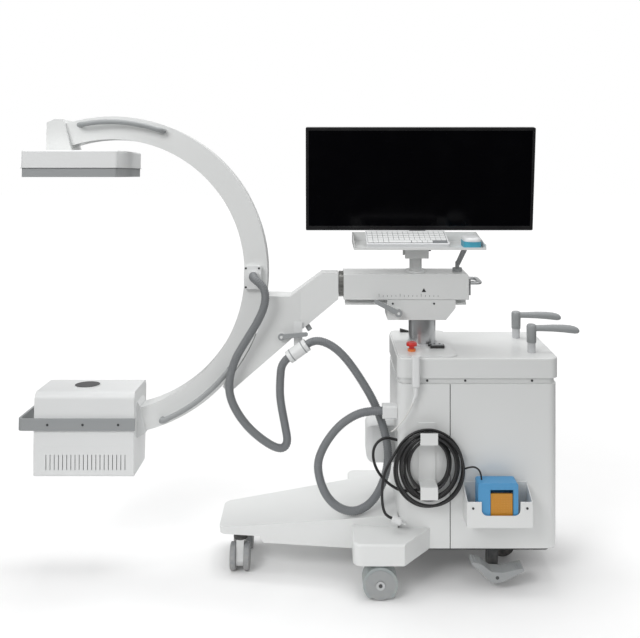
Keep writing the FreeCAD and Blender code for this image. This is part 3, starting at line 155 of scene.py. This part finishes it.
def make_region_group():
    # White inside a box between two corners in the machine's frame, black outside it.
    inputs = [("Low", "NodeSocketVector", None), ("High", "NodeSocketVector", None)]
    group, entry, leave = group_with("box region", inputs, [("Mask", "NodeSocketFloat")])
    place = group.nodes.new("ShaderNodeTexCoord").outputs["Object"]
    spots = []
    for source in (place, entry.outputs["Low"], entry.outputs["High"]):
        parts = group.nodes.new("ShaderNodeSeparateXYZ")
        group.links.new(source, parts.inputs[0])
        spots.append(parts)
    total = None
    for axis in ("X", "Y", "Z"):
        above = math_node(group, "GREATER_THAN", spots[0].outputs[axis], spots[1].outputs[axis])
        below = math_node(group, "LESS_THAN", spots[0].outputs[axis], spots[2].outputs[axis])
        both = math_node(group, "MULTIPLY", above, below)
        total = both if total is None else math_node(group, "MULTIPLY", total, both)
    group.links.new(total, leave.inputs["Mask"])
    return group


WEAR = make_wear_group()
REGION = make_region_group()


def finish_material(name, colour, rough, metallic=0.0, coat=0.0, uneven=0.05, grain=700.0, bump=0.05,
                    dust=0.25, regions=()):
    material = bpy.data.materials.new(name)
    material.use_nodes = True
    tree = material.node_tree
    shader = tree.nodes["Principled BSDF"]
    wear = tree.nodes.new("ShaderNodeGroup")
    wear.node_tree = WEAR
    current = (*colour, 1.0)
    for low, high, paint in regions:
        box = tree.nodes.new("ShaderNodeGroup")
        box.node_tree = REGION
        box.inputs["Low"].default_value = low
        box.inputs["High"].default_value = high
        current = blend_colour(tree, box.outputs["Mask"], current, (*paint, 1.0))
    if isinstance(current, bpy.types.NodeSocket):
        tree.links.new(current, wear.inputs["Colour"])
    else:
        wear.inputs["Colour"].default_value = current
    settings = {"Roughness": rough, "Uneven": uneven, "Grain": grain, "Bump": bump, "Dust": dust}
    for label, value in settings.items():
        wear.inputs[label].default_value = value
    tree.links.new(wear.outputs["Colour"], shader.inputs["Base Color"])
    tree.links.new(wear.outputs["Roughness"], shader.inputs["Roughness"])
    tree.links.new(wear.outputs["Normal"], shader.inputs["Normal"])
    shader.inputs["Metallic"].default_value = metallic
    shader.inputs["Coat Weight"].default_value = coat
    shader.inputs["Coat Roughness"].default_value = 0.12
    return material


BLACK = (0.012, 0.012, 0.013)
ORANGE = (0.72, 0.18, 0.03)
TEAL = (0.045, 0.33, 0.46)

MATERIALS = {
    "white_paint": finish_material("white paint", (0.70, 0.71, 0.705),
                                   0.32, coat=0.2, uneven=0.02, bump=0.06),
    "white_plastic": finish_material("white plastic", (0.71, 0.72, 0.72),
                                     0.42, uneven=0.025, grain=1500, bump=0.12),
    "grey_plastic": finish_material("grey plastic", (0.295, 0.308, 0.315),
                                    0.46, uneven=0.08, grain=1600, bump=0.25),
    "dark_grey": finish_material("dark grey paint", (0.030, 0.032, 0.035),
                                 0.45, uneven=0.05, bump=0.15),
    "steel": finish_material("brushed steel", (0.52, 0.53, 0.54),
                             0.26, metallic=1.0, grain=900, bump=0.06),
    "silver": finish_material("silver aluminium", (0.60, 0.61, 0.62),
                              0.30, metallic=1.0, grain=900, bump=0.05),
    "black_plastic": finish_material("black plastic", BLACK,
                                     0.46, uneven=0.04, bump=0.18),
    "blue_plastic": finish_material("blue plastic", (0.065, 0.29, 0.55),
                                    0.38, uneven=0.06, grain=1400, bump=0.2),
    "yellow_plastic": finish_material("yellow plastic", (0.60, 0.27, 0.022),
                                      0.50, uneven=0.10, grain=300, bump=0.7),
    "red_plastic": finish_material("red plastic", (0.62, 0.02, 0.015),
                                   0.28, coat=0.4, uneven=0.05),
    "grey_rubber": finish_material("grey rubber", (0.24, 0.25, 0.26),
                                   0.62, uneven=0.12, bump=0.3, dust=0.6),
    "screen": finish_material("screen plastic", (0.006, 0.006, 0.007),
                              0.30, uneven=0.02, bump=0.05),
    "hose_grey": finish_material("hose plastic", (0.175, 0.185, 0.195),
                                 0.42, uneven=0.10, grain=1200, bump=0.2),
    "cord_black": finish_material("cord rubber", (0.008, 0.008, 0.009),
                                  0.42, uneven=0.03, bump=0.1),
    "cord_white": finish_material("white cord", (0.66, 0.66, 0.64),
                                  0.45, uneven=0.06, bump=0.1),
}

SPECIAL = {
    "lid_fittings": finish_material(
        "lid fittings", (0.50, 0.51, 0.52), 0.30, bump=0.08,
        regions=(((0.45, -0.085, 0.7), (0.51, -0.045, 0.9), BLACK),
                 ((0.36, 0.13, 0.7), (0.41, 0.16, 0.9), BLACK),
                 ((0.36, -0.13, 0.7), (0.41, -0.09, 0.9), ORANGE))),
    "front_fork": finish_material("caster fork", (0.62, 0.63, 0.63), 0.42, bump=0.15, dust=0.5,
                                  regions=(((-1, -1, 0.1021), (1, 1, 0.2), BLACK),)),
    "swing_band": finish_material("swing band", (0.22, 0.22, 0.21), 0.34, metallic=0.6, grain=900, bump=0.06),
    "desk_set": finish_material("keyboard and mouse", (0.68, 0.69, 0.70), 0.44, bump=0.15,
                                regions=(((0.55, -1, 1.0), (0.7, 1, 1.146), TEAL),)),
    "wheel_hood": finish_material("wheel hood", (0.30, 0.335, 0.34), 0.46, bump=0.2, dust=0.5),
}
SPECIAL_NODES = {"lid_fittings": "lid_fittings", "wheel_hoods": "wheel_hood", "turn_bearing": "swing_band",
                 "front_fork_near": "front_fork", "front_fork_far": "front_fork",
                 "keyboard_and_mouse": "desk_set"}


def paint_cad():
    for entry in frame["record"]["subparts"]:
        name = entry["node"]
        material = MATERIALS[entry["material_slot"]]
        if name in SPECIAL_NODES:
            material = SPECIAL[SPECIAL_NODES[name]]
        mesh = nodes[name].data
        mesh.materials.clear()
        mesh.materials.append(material)
        bevel = nodes[name].modifiers.new("soft edge", "BEVEL")
        bevel.width = 0.0006
        bevel.segments = 2
        bevel.limit_method = "ANGLE"
        bevel.harden_normals = True


paint_cad()


# Small pieces that ride on the model

def lean_point(point):
    x, y, z = point
    rise = z - TURN_Z
    return Vector((x, y * math.cos(LEAN) - rise * math.sin(LEAN),
                   TURN_Z + y * math.sin(LEAN) + rise * math.cos(LEAN)))


def lean_object(obj):
    turn = Matrix.Rotation(LEAN, 4, "X")
    shift = Matrix.Translation((0, 0, TURN_Z))
    obj.data.transform(shift @ turn @ shift.inverted())


def mesh_object(name, verts, faces, material, smooth=False):
    mesh = bpy.data.meshes.new(name)
    mesh.from_pydata([tuple(v) for v in verts], [], faces)
    mesh.update()
    for polygon in mesh.polygons:
        polygon.use_smooth = smooth
    mesh.materials.append(material)
    obj = bpy.data.objects.new(name, mesh)
    bpy.context.scene.collection.objects.link(obj)
    return obj


BOX_FACES = [(0, 1, 3, 2), (4, 6, 7, 5), (0, 4, 5, 1), (2, 3, 7, 6), (0, 2, 6, 4), (1, 5, 7, 3)]


def box_parts(low, high):
    verts = [(x, y, z) for x in (low[0], high[0]) for y in (low[1], high[1]) for z in (low[2], high[2])]
    return verts, BOX_FACES


def disc_parts(centre, axis, radius, length, sides=24):
    turn = Vector((0, 0, 1)).rotation_difference(Vector(axis))
    verts = []
    for end in (0.0, length):
        for step in range(sides):
            angle = 2 * math.pi * step / sides
            spot = Vector((radius * math.cos(angle), radius * math.sin(angle), end))
            verts.append(Vector(centre) + turn @ spot)
    faces = [tuple(reversed(range(sides))), tuple(range(sides, 2 * sides))]
    for step in range(sides):
        after = (step + 1) % sides
        faces.append((step, after, sides + after, sides + step))
    return verts, faces


def combined(name, parts, slot, body, leaned=False, material=None, smooth=False):
    verts = []
    faces = []
    for some_verts, some_faces in parts:
        start = len(verts)
        verts.extend(some_verts)
        faces.extend(tuple(i + start for i in face) for face in some_faces)
    obj = mesh_object(name, verts, faces, material or MATERIALS[slot], smooth)
    if leaned:
        lean_object(obj)
    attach(obj, body)
    return obj


def clamp_point(reach):
    return tuple(middle + along * reach for middle, along in zip(CLAMP_MIDDLE, CLAMP_AXIS))


def screw_parts(spots, axis, radius=0.0035, proud=0.0012):
    return [disc_parts(spot, axis, radius, proud, 12) for spot in spots]


def arm_details():
    # Marks on the near side lie between these two depths.
    front, back = -0.0553, -0.0549
    first_x, pitch, wide, foot = 0.276, 0.0149, 0.0011, 0.940
    ticks = []
    for step in range(15):
        x = first_x + pitch * step
        tall = 0.011 if step % 5 == 0 else 0.006
        ticks.append(box_parts((x, front, foot), (x + wide, back, foot + tall)))
    combined("arm_scale", ticks, "black_plastic", "arm")
    verts = [(x, y, z) for y in (front, back) for x, z in ((0.427, 0.957), (0.443, 0.957), (0.435, 0.971))]
    faces = [(0, 1, 2), (5, 4, 3), (0, 3, 4, 1), (1, 4, 5, 2), (2, 5, 3, 0)]
    combined("arm_pointer", [(verts, faces)], "black_plastic", "arm")
    spots = [(0.325, -0.0552, 0.916), (0.471, -0.0552, 0.916)]
    combined("saddle_screws", screw_parts(spots, (0, -1, 0)), "black_plastic", "saddle")
    ribs = []
    ring_radius = 0.042
    for step in range(9):
        angle = math.radians(40 * step)
        spot = (0.1375, ring_radius * math.cos(angle), TURN_Z + ring_radius * math.sin(angle))
        ribs.append(disc_parts(spot, (1, 0, 0), radius=0.003, length=0.012, sides=8))
    combined("bearing_ribs", ribs, "black_plastic", "arm")


def arc_details():
    lens = [disc_parts((-0.762, 0, 0.6192), (0, 0, 1), radius=0.0435, length=0.0012, sides=48)]
    combined("tube_window", lens, "dark_grey", "c_arm", leaned=True)
    spots = [(-0.868, -0.1082, 0.510), (-0.747, -0.1082, 0.510), (-0.625, -0.1082, 0.510)]
    combined("bumper_screws", screw_parts(spots, (0, -1, 0), 0.0042), "dark_grey", "c_arm", leaned=True)
    spots = [(x, -0.0692, z) for x in (-0.193, -0.147) for z in (0.972, 1.038)]
    combined("cable_plate_screws", screw_parts(spots, (0, -1, 0)), "black_plastic", "c_arm", leaned=True)
    seam = [box_parts((-0.954, -0.1875, 1.3892), (-0.621, 0.1875, 1.3905))]
    combined("detector_seam", seam, "dark_grey", "c_arm", leaned=True)
    # Thin dark strips on the tube housing paint the shade inside its vent slots.
    first_x, pitch, side_gap, slot_wide = -0.875, 0.0143, 0.0001, 0.0024
    slits = []
    for step in range(20):
        x = first_x + pitch * step
        slits.append(box_parts((x + side_gap, -0.0925, 0.355), (x + slot_wide, -0.0918, 0.406)))
    combined("vent_slot_painted_shade", slits, "dark_grey", "c_arm", leaned=True)
    knob = [disc_parts((0.022, -0.030, 0.834), (0.55, 0.0, -0.83), radius=0.009, length=0.020)]
    combined("carrier_knob", knob, "grey_plastic", "carrier", leaned=True)
    bands = []
    for reach in (-0.026, 0.022):
        bands.append(disc_parts(clamp_point(reach), CLAMP_AXIS, radius=0.0234, length=0.004, sides=40))
    combined("clamp_bands", bands, "grey_plastic", "carrier", leaned=True)


def cabinet_details():
    spots = [(0.432, -0.1682, 0.680), (0.561, -0.1682, 0.680), (0.788, -0.1682, 0.680)]
    combined("band_screws", screw_parts(spots, (0, -1, 0), 0.004), "dark_grey", "chassis")
    # A thin dark strip on the cabinet's near side paints the shade in the seam between two panels.
    shadow = [box_parts((0.5078, -0.1727, 0.1145), (0.5102, -0.1721, 0.6695))]
    combined("panel_seam_painted_shade", shadow, "dark_grey", "chassis")
    # Each hood has a disc, a cap on it and a bolt on the cap: distance out, radius, height and sides.
    stack = (("hood_discs", "grey_plastic", 0.2852, 0.048, 0.0012, 48),
             ("hood_caps", "steel", 0.2864, 0.0145, 0.0030, 32),
             ("hood_bolts", "dark_grey", 0.2894, 0.0065, 0.0006, 16))
    wheel_x, wheel_z = 0.265, 0.050
    for name, slot, out, radius, height, sides in stack:
        pair = [disc_parts((wheel_x, sign * out, wheel_z), (0, sign, 0), radius, height, sides)
                for sign in (-1, 1)]
        combined(name, pair, slot, "chassis")
    # The ribs on both ends of the pedal follow its slope down toward the middle.
    slope, rib_wide, rib_tall = 0.30, 0.003, 0.008
    ribs = []
    for x in (0.585, 0.592, 0.599, 0.716, 0.723, 0.730):
        top = 0.0975 - slope * (x - 0.577) if x < 0.65 else 0.0716 + slope * (x - 0.714)
        ribs.append(box_parts((x, -0.229, top - rib_tall), (x + rib_wide, -0.183, top)))
    combined("pedal_ribs", ribs, "grey_plastic", "brake_pedal")
    spots = [(x, -0.2563, 0.287) for x in (0.572, 0.750)]
    combined("bin_screws", screw_parts(spots, (0, -1, 0), 0.004), "dark_grey", "chassis")


def treadle_ribs():
    studs = []
    rows, columns = 9, 7
    pitch_x, pitch_z = 0.0093, 0.0083
    radius, height = 0.0026, 0.0022
    for row in range(rows):
        for column in range(columns):
            spot = (0.640 + pitch_x * column, -0.2455, 0.256 + pitch_z * row)
            studs.append(disc_parts(spot, (0, -1, 0), radius, height, 10))
    combined("treadle_studs", studs, "yellow_plastic", "footswitch_treadle")


def keyboard_keys():
    # Four rows of 15 keys, and a front row with the space bar.
    base = Vector((0, -0.145, 1.1243))
    turn = Matrix.Rotation(math.radians(14), 3, "X")
    first_x, first_y = 0.2335, 0.012
    foot, top = 0.0155, 0.0188
    parts = []
    key_wide, key_deep = 0.0165, 0.0175
    space_bar, space_shift = 0.075, 0.060
    step_x, step_y = 0.0182, 0.0205
    for row in range(5):
        count = 15 if row else 9
        for column in range(count):
            wide = key_wide if row or column != 4 else space_bar
            x = first_x + step_x * column
            if not row and column > 4:
                x += space_shift
            y = first_y + step_y * row
            verts, faces = box_parts((x, y, foot), (x + wide, y + key_deep, top))
            parts.append(([base + turn @ Vector(v) for v in verts], faces))
    combined("keys", parts, "white_plastic", "console")
    # A dark grey plate at the foot of the keys paints the shade in the gaps between them.
    gap = box_parts((0.2325, 0.010, 0.0157), (0.5075, 0.1145, 0.0163))
    combined("key_gap_painted_shade", [([base + turn @ Vector(v) for v in gap[0]], gap[1])], "cord_white", "console",
             material=MATERIALS["hose_grey"])


def screen_glass():
    tilt = Matrix.Rotation(math.radians(7), 3, "X")
    pivot = Vector((0, 0.104, 1.356))
    low = Vector((0.0268, -0.0638, -0.1735))
    high = Vector((0.8392, -0.0632, 0.1795))
    verts, faces = box_parts(low, high)
    glass = finish_material("screen glass", (0.0012, 0.0012, 0.0018), 0.16, uneven=0.0, bump=0.0, dust=0.0)
    glass.node_tree.nodes["Principled BSDF"].inputs["Specular IOR Level"].default_value = 0.10
    combined("screen_glass", [([pivot + tilt @ Vector(v) for v in verts], faces)], "screen", "monitor",
             material=glass)
    edge = box_parts((0.018, -0.0652, -0.1900), (0.848, -0.0638, -0.1865))
    combined("screen_edge", [([pivot + tilt @ Vector(v) for v in edge[0]], edge[1])], "dark_grey", "monitor")


def rocker_marks():
    marks = [box_parts((0.468, -0.070, 0.77705), (0.474, -0.060, 0.7773)),
             box_parts((0.486, -0.070, 0.77705), (0.492, -0.060, 0.7773))]
    combined("rocker_marks", marks, "black_plastic", "lift_rocker")


def lofted(rings):
    # Closed skin over rings that have the same number of points.
    sides = len(rings[0])
    verts = [point for ring in rings for point in ring]
    last = (len(rings) - 1) * sides
    faces = [tuple(reversed(range(sides))), tuple(range(last, last + sides))]
    for start in range(0, last, sides):
        for step in range(sides):
            after = (step + 1) % sides
            faces.append((start + step, start + after, start + sides + after, start + sides + step))
    return verts, faces


def steer_levers():
    # The moulded levers have an oval grip that thickens and droops toward its end.
    sides = 28
    turn = [2 * math.pi * step / sides for step in range(sides)]
    grip_z = 0.8415
    # Height and radius of each ring of the post
    hub = ((0.7923, 0.0150), (0.7930, 0.0162), (0.8480, 0.0168),
           (0.8525, 0.0155), (0.8550, 0.0125), (0.8560, 0.0070))
    # Distance along, half width, half height and drop of each ring of the grip
    grip = ((0.004, 0.0115, 0.0110, 0.0), (0.020, 0.0110, 0.0105, 0.0), (0.040, 0.0108, 0.0108, 0.0),
            (0.075, 0.0122, 0.0122, 0.0), (0.110, 0.0135, 0.0132, -0.0015), (0.135, 0.0135, 0.0135, -0.0040),
            (0.150, 0.0125, 0.0126, -0.0065), (0.160, 0.0100, 0.0098, -0.0085),
            (0.165, 0.0055, 0.0052, -0.0095))
    for side, x, y in (("near", 0.803, -0.102), ("far", 0.795, 0.090)):
        post = [[(x + r * math.cos(a), y + r * math.sin(a), z) for a in turn] for z, r in hub]
        lever = [[(x + along, y + wide * math.cos(a), grip_z + drop + tall * math.sin(a)) for a in turn]
                 for along, wide, tall, drop in grip]
        piece = combined("steer_lever_" + side, [lofted(post), lofted(lever)], "grey_plastic",
                         "steer_handle_" + side, smooth=True)
        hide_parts("steer_handle_" + side)


arm_details()
arc_details()
cabinet_details()
treadle_ribs()
keyboard_keys()
screen_glass()
rocker_marks()
steer_levers()


# Hoses and cords. The hoses have the same corner points as the solid model.

def smooth_path(points, step):
    # The curve that a third-order spline draws through these control points, as points a step apart.
    corners = [Vector(p) for p in points]
    joints = [corners[0]]
    joints += [(a + b) / 2 for a, b in zip(corners[1:-2], corners[2:-1])]
    joints.append(corners[-1])
    dense = []
    for start, corner, end in zip(joints, corners[1:-1], joints[1:]):
        for count in range(40):
            t = count / 40
            dense.append((1 - t) ** 2 * start + 2 * t * (1 - t) * corner + t * t * end)
    dense.append(joints[-1])
    spaced = [dense[0]]
    walked = 0.0
    for before, after in zip(dense, dense[1:]):
        run = (after - before).length
        while walked + run >= step:
            share = (step - walked) / run
            before = before.lerp(after, share)
            spaced.append(before.copy())
            run = (after - before).length
            walked = 0.0
        walked += run
    if (spaced[-1] - dense[-1]).length > step * 0.3:
        spaced.append(dense[-1])
    return spaced


def path_length(path):
    return sum((b - a).length for a, b in zip(path, path[1:]))


def corrugated(name, points, radius, groove, pitch, slot):
    path = smooth_path(points, pitch / 4)
    sides = 20
    across = Vector((0, 1, 0))
    verts = []
    for index, spot in enumerate(path):
        ahead = path[min(index + 1, len(path) - 1)] - path[max(index - 1, 0)]
        ahead.normalize()
        across = (across - ahead * across.dot(ahead)).normalized()
        other = ahead.cross(across)
        size = (radius, radius - groove * 0.6, radius - groove, radius - groove * 0.6)[index % 4]
        for step in range(sides):
            angle = 2 * math.pi * step / sides
            verts.append(spot + size * (math.cos(angle) * across + math.sin(angle) * other))
    faces = []
    for ring in range(len(path) - 1):
        for step in range(sides):
            after = (step + 1) % sides
            faces.append((ring * sides + step, ring * sides + after,
                          (ring + 1) * sides + after, (ring + 1) * sides + step))
    faces.append(tuple(reversed(range(sides))))
    faces.append(tuple((len(path) - 1) * sides + step for step in range(sides)))
    return mesh_object(name, verts, faces, MATERIALS[slot], smooth=True), path


def clamp_end(sign, extra=0.0):
    half_length = 0.039
    return lean_point(clamp_point(sign * (half_length + extra)))


def hoses():
    start = [lean_point((-0.166, -0.083, 1.012)), lean_point((-0.166, -0.115, 1.012))]
    middle = [(-0.122, -0.120, 0.985), (-0.120, -0.120, 0.929), (-0.147, -0.120, 0.867),
              (-0.189, -0.122, 0.801), (-0.225, -0.125, 0.741), (-0.246, -0.128, 0.671),
              (-0.243, -0.124, 0.601), (-0.197, -0.113, 0.516), (-0.133, -0.104, 0.453),
              (-0.071, -0.100, 0.417), (-0.042, -0.098, 0.437), (-0.054, -0.096, 0.502),
              (-0.072, -0.095, 0.595), (-0.071, -0.096, 0.663)]
    points = start + middle + [clamp_end(-1, 0.030), clamp_end(-1)]
    upper, path = corrugated("upper_hose", points, HOSE_RADIUS, HOSE_GROOVE, HOSE_PITCH, "hose_grey")
    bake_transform(upper)
    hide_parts("hose_upper")
    start = [clamp_end(1), clamp_end(1, 0.030)]
    middle = [(0.103, -0.092, 0.784), (0.155, -0.092, 0.740), (0.211, -0.092, 0.661), (0.263, -0.091, 0.571),
              (0.298, -0.091, 0.466), (0.308, -0.095, 0.387), (0.290, -0.105, 0.308), (0.244, -0.125, 0.238),
              (0.170, -0.148, 0.218), (0.092, -0.152, 0.266), (0.056, -0.152, 0.369), (0.071, -0.147, 0.435),
              (0.126, -0.140, 0.512), (0.192, -0.135, 0.555), (0.247, -0.133, 0.565), (0.282, -0.133, 0.565)]
    points = start + middle
    points.reverse()
    lower, path = corrugated("lower_hose", points, HOSE_RADIUS, HOSE_GROOVE, HOSE_PITCH, "hose_grey")
    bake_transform(lower)
    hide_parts("hose_lower")


def curve_object(name, points, radius, slot):
    curve = bpy.data.curves.new(name, "CURVE")
    curve.dimensions = "3D"
    curve.bevel_depth = radius
    curve.bevel_resolution = 3
    curve.resolution_u = 5
    curve.use_fill_caps = True
    spline = curve.splines.new("NURBS")
    spline.points.add(len(points) - 1)
    for spot, place in zip(spline.points, points):
        spot.co = (*place, 1.0)
    spline.order_u = 3
    spline.use_endpoint_u = True
    curve.materials.append(MATERIALS[slot])
    obj = bpy.data.objects.new(name, curve)
    bpy.context.scene.collection.objects.link(obj)
    return obj


def coil_points():
    # Each turn is a little wider and hangs a little lower than the one before, and its depth wanders.
    turns = 7.7
    per_turn = 16
    centre_x = 0.433
    points = []
    for count in range(int(turns * per_turn) + 1):
        turn = count / per_turn
        angle = 1.5 * math.pi + 2 * math.pi * turn
        half = 0.060 + 0.0084 * turn + 0.004 * math.sin(2.3 * turn)
        top = 0.4965 + 0.0036 * turn
        bottom = 0.334 - 0.0098 * turn - 0.006 * math.sin(3.1 * turn)
        depth = -0.206 - 0.015 * math.sin(2.33 * turn)
        middle = (top + bottom) / 2
        height = (top - bottom) / 2
        points.append((centre_x + half * math.cos(angle), depth, middle + height * math.sin(angle)))
    return points


def power_cord():
    lead_in = [(0.332, -0.146, 0.470), (0.320, -0.150, 0.474), (0.292, -0.160, 0.484),
               (0.262, -0.172, 0.474), (0.246, -0.180, 0.446), (0.250, -0.184, 0.404),
               (0.272, -0.1825, 0.362), (0.306, -0.182, 0.330), (0.345, -0.1815, 0.310),
               (0.388, -0.183, 0.313)]
    tail = [(0.290, -0.207, 0.400), (0.277, -0.207, 0.350), (0.275, -0.208, 0.295), (0.281, -0.208, 0.256),
            (0.292, -0.208, 0.239), (0.308, -0.208, 0.232)]
    points = lead_in + coil_points() + tail
    power = curve_object("power_cord", points, POWER_RADIUS, "cord_black")
    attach(power, "chassis")
    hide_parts("power_coil", "power_tail")
    path_length(smooth_path(points, 0.01))


def switch_cord():
    points = [(0.332, -0.127, 0.497), (0.316, -0.134, 0.497), (0.309, -0.158, 0.502), (0.318, -0.184, 0.518),
              (0.345, -0.197, 0.552), (0.374, -0.196, 0.595), (0.390, -0.193, 0.640), (0.391, -0.191, 0.668)]
    switch = curve_object("hand_switch_cord", points, SWITCH_RADIUS, "cord_white")
    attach(switch, "chassis")
    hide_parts("handswitch_cord")
    path_length(smooth_path(points, 0.004))
    # A strain relief that narrows from the hand switch down along its cord: height, place and radius.
    sides = 20
    turn = [2 * math.pi * step / sides for step in range(sides)]
    sleeve = ((0.669, 0.3910, 0.0085), (0.655, 0.3907, 0.0080), (0.640, 0.3900, 0.0066),
              (0.626, 0.3855, 0.0055), (0.612, 0.3810, 0.0046), (0.604, 0.3780, 0.0038))
    rings = [[(x + r * math.cos(a), -0.1925 + r * math.sin(a), z) for a in turn] for z, x, r in sleeve]
    combined("switch_sleeve", [lofted(rings)], "white_plastic", "chassis", smooth=True)


def foot_cord():
    points = [(0.606, -0.222, 0.367), (0.605, -0.221, 0.390), (0.590, -0.215, 0.406), (0.568, -0.208, 0.403),
              (0.553, -0.205, 0.396)]
    lead = curve_object("foot_switch_cord", points, FOOT_RADIUS, "cord_black")
    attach(lead, "chassis")
    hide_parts("footswitch_cord")
    path_length(smooth_path(points, 0.004))


hoses()
power_cord()
switch_cord()
foot_cord()


# Floor, light and camera

def floor_material():
    # Lit near the machine, and fading to plain white further out, so that no horizon shows.
    material = bpy.data.materials.new("floor")
    material.use_nodes = True
    tree = material.node_tree
    shader = tree.nodes["Principled BSDF"]
    place = tree.nodes.new("ShaderNodeTexCoord").outputs["Object"]
    reach = tree.nodes.new("ShaderNodeVectorMath")
    reach.operation = "LENGTH"
    tree.links.new(place, reach.inputs[0])
    far = ramp(tree, reach.outputs["Value"], 1.1, 2.3, 0.0, 1.0)
    fine = ramp(tree, noise(tree, place, 8.0), 0.3, 0.7, 0.0, 0.02)
    near_colour = blend_colour(tree, fine, (0.93, 0.93, 0.93, 1.0), (0.5, 0.5, 0.5, 1.0))
    tree.links.new(blend_colour(tree, far, near_colour, (0.0, 0.0, 0.0, 1.0)), shader.inputs["Base Color"])
    rays = tree.nodes.new("ShaderNodeLightPath")
    glow = math_node(tree, "MULTIPLY", far, rays.outputs["Is Camera Ray"])
    tree.links.new(glow, shader.inputs["Emission Strength"])
    shader.inputs["Emission Color"].default_value = (1.0, 1.0, 1.0, 1.0)
    shader.inputs["Roughness"].default_value = 0.6
    return material


def area_light(name, place, target, size, power):
    light = bpy.data.lights.new(name, "AREA")
    light.shape = "RECTANGLE"
    light.size = size[0]
    light.size_y = size[1]
    light.energy = power
    lamp = bpy.data.objects.new(name, light)
    lamp.location = place
    lamp.rotation_euler = (Vector(target) - Vector(place)).to_track_quat("-Z", "Y").to_euler()
    bpy.context.scene.collection.objects.link(lamp)


def studio():
    half = 14
    floor = bpy.data.meshes.new("floor")
    floor.from_pydata([(-half, -half, 0), (half, -half, 0), (half, half, 0), (-half, half, 0)],
                      [], [(0, 1, 2, 3)])
    floor.materials.append(floor_material())
    floor_object = bpy.data.objects.new("floor", floor)
    bpy.context.scene.collection.objects.link(floor_object)
    world = bpy.data.worlds.new("studio")
    bpy.context.scene.world = world
    world.use_nodes = True
    tree = world.node_tree
    back = tree.nodes["Background"]
    rays = tree.nodes.new("ShaderNodeLightPath")
    seen = math_node(tree, "MAXIMUM", rays.outputs["Is Camera Ray"], rays.outputs["Is Transmission Ray"])
    tree.links.new(ramp(tree, seen, 0.0, 1.0, 0.66, 1.0), back.inputs["Strength"])
    back.inputs["Color"].default_value = (1.0, 1.0, 1.0, 1.0)
    area_light("key", (-2.2, -3.2, 3.4), (0, 0, 0.8), (2.0, 1.5), 80)
    area_light("fill", (2.8, -3.0, 2.2), (0.1, 0, 0.8), (1.8, 1.8), 9)
    area_light("top", (0.0, 0.6, 4.2), (0, 0, 0.6), (2.4, 2.0), 84)


# The photograph's camera, fitted to its outlines
PHOTO_PIXELS = 640
FOCAL_PIXELS = 825
CAMERA_PLACE = (0.068, -2.970, 1.565)
CAMERA_SHIFT = -0.311


def camera():
    data = bpy.data.cameras.new("camera")
    data.sensor_fit = "HORIZONTAL"
    data.sensor_width = 36.0
    data.lens = FOCAL_PIXELS / PHOTO_PIXELS * data.sensor_width
    data.shift_x = 0.0
    data.shift_y = CAMERA_SHIFT
    data.clip_end = 60
    obj = bpy.data.objects.new("camera", data)
    obj.location = CAMERA_PLACE
    obj.rotation_euler = (math.radians(90), 0, 0)
    bpy.context.scene.collection.objects.link(obj)
    bpy.context.scene.camera = obj


studio()
camera()
bpy.context.scene.view_settings.view_transform = "Standard"
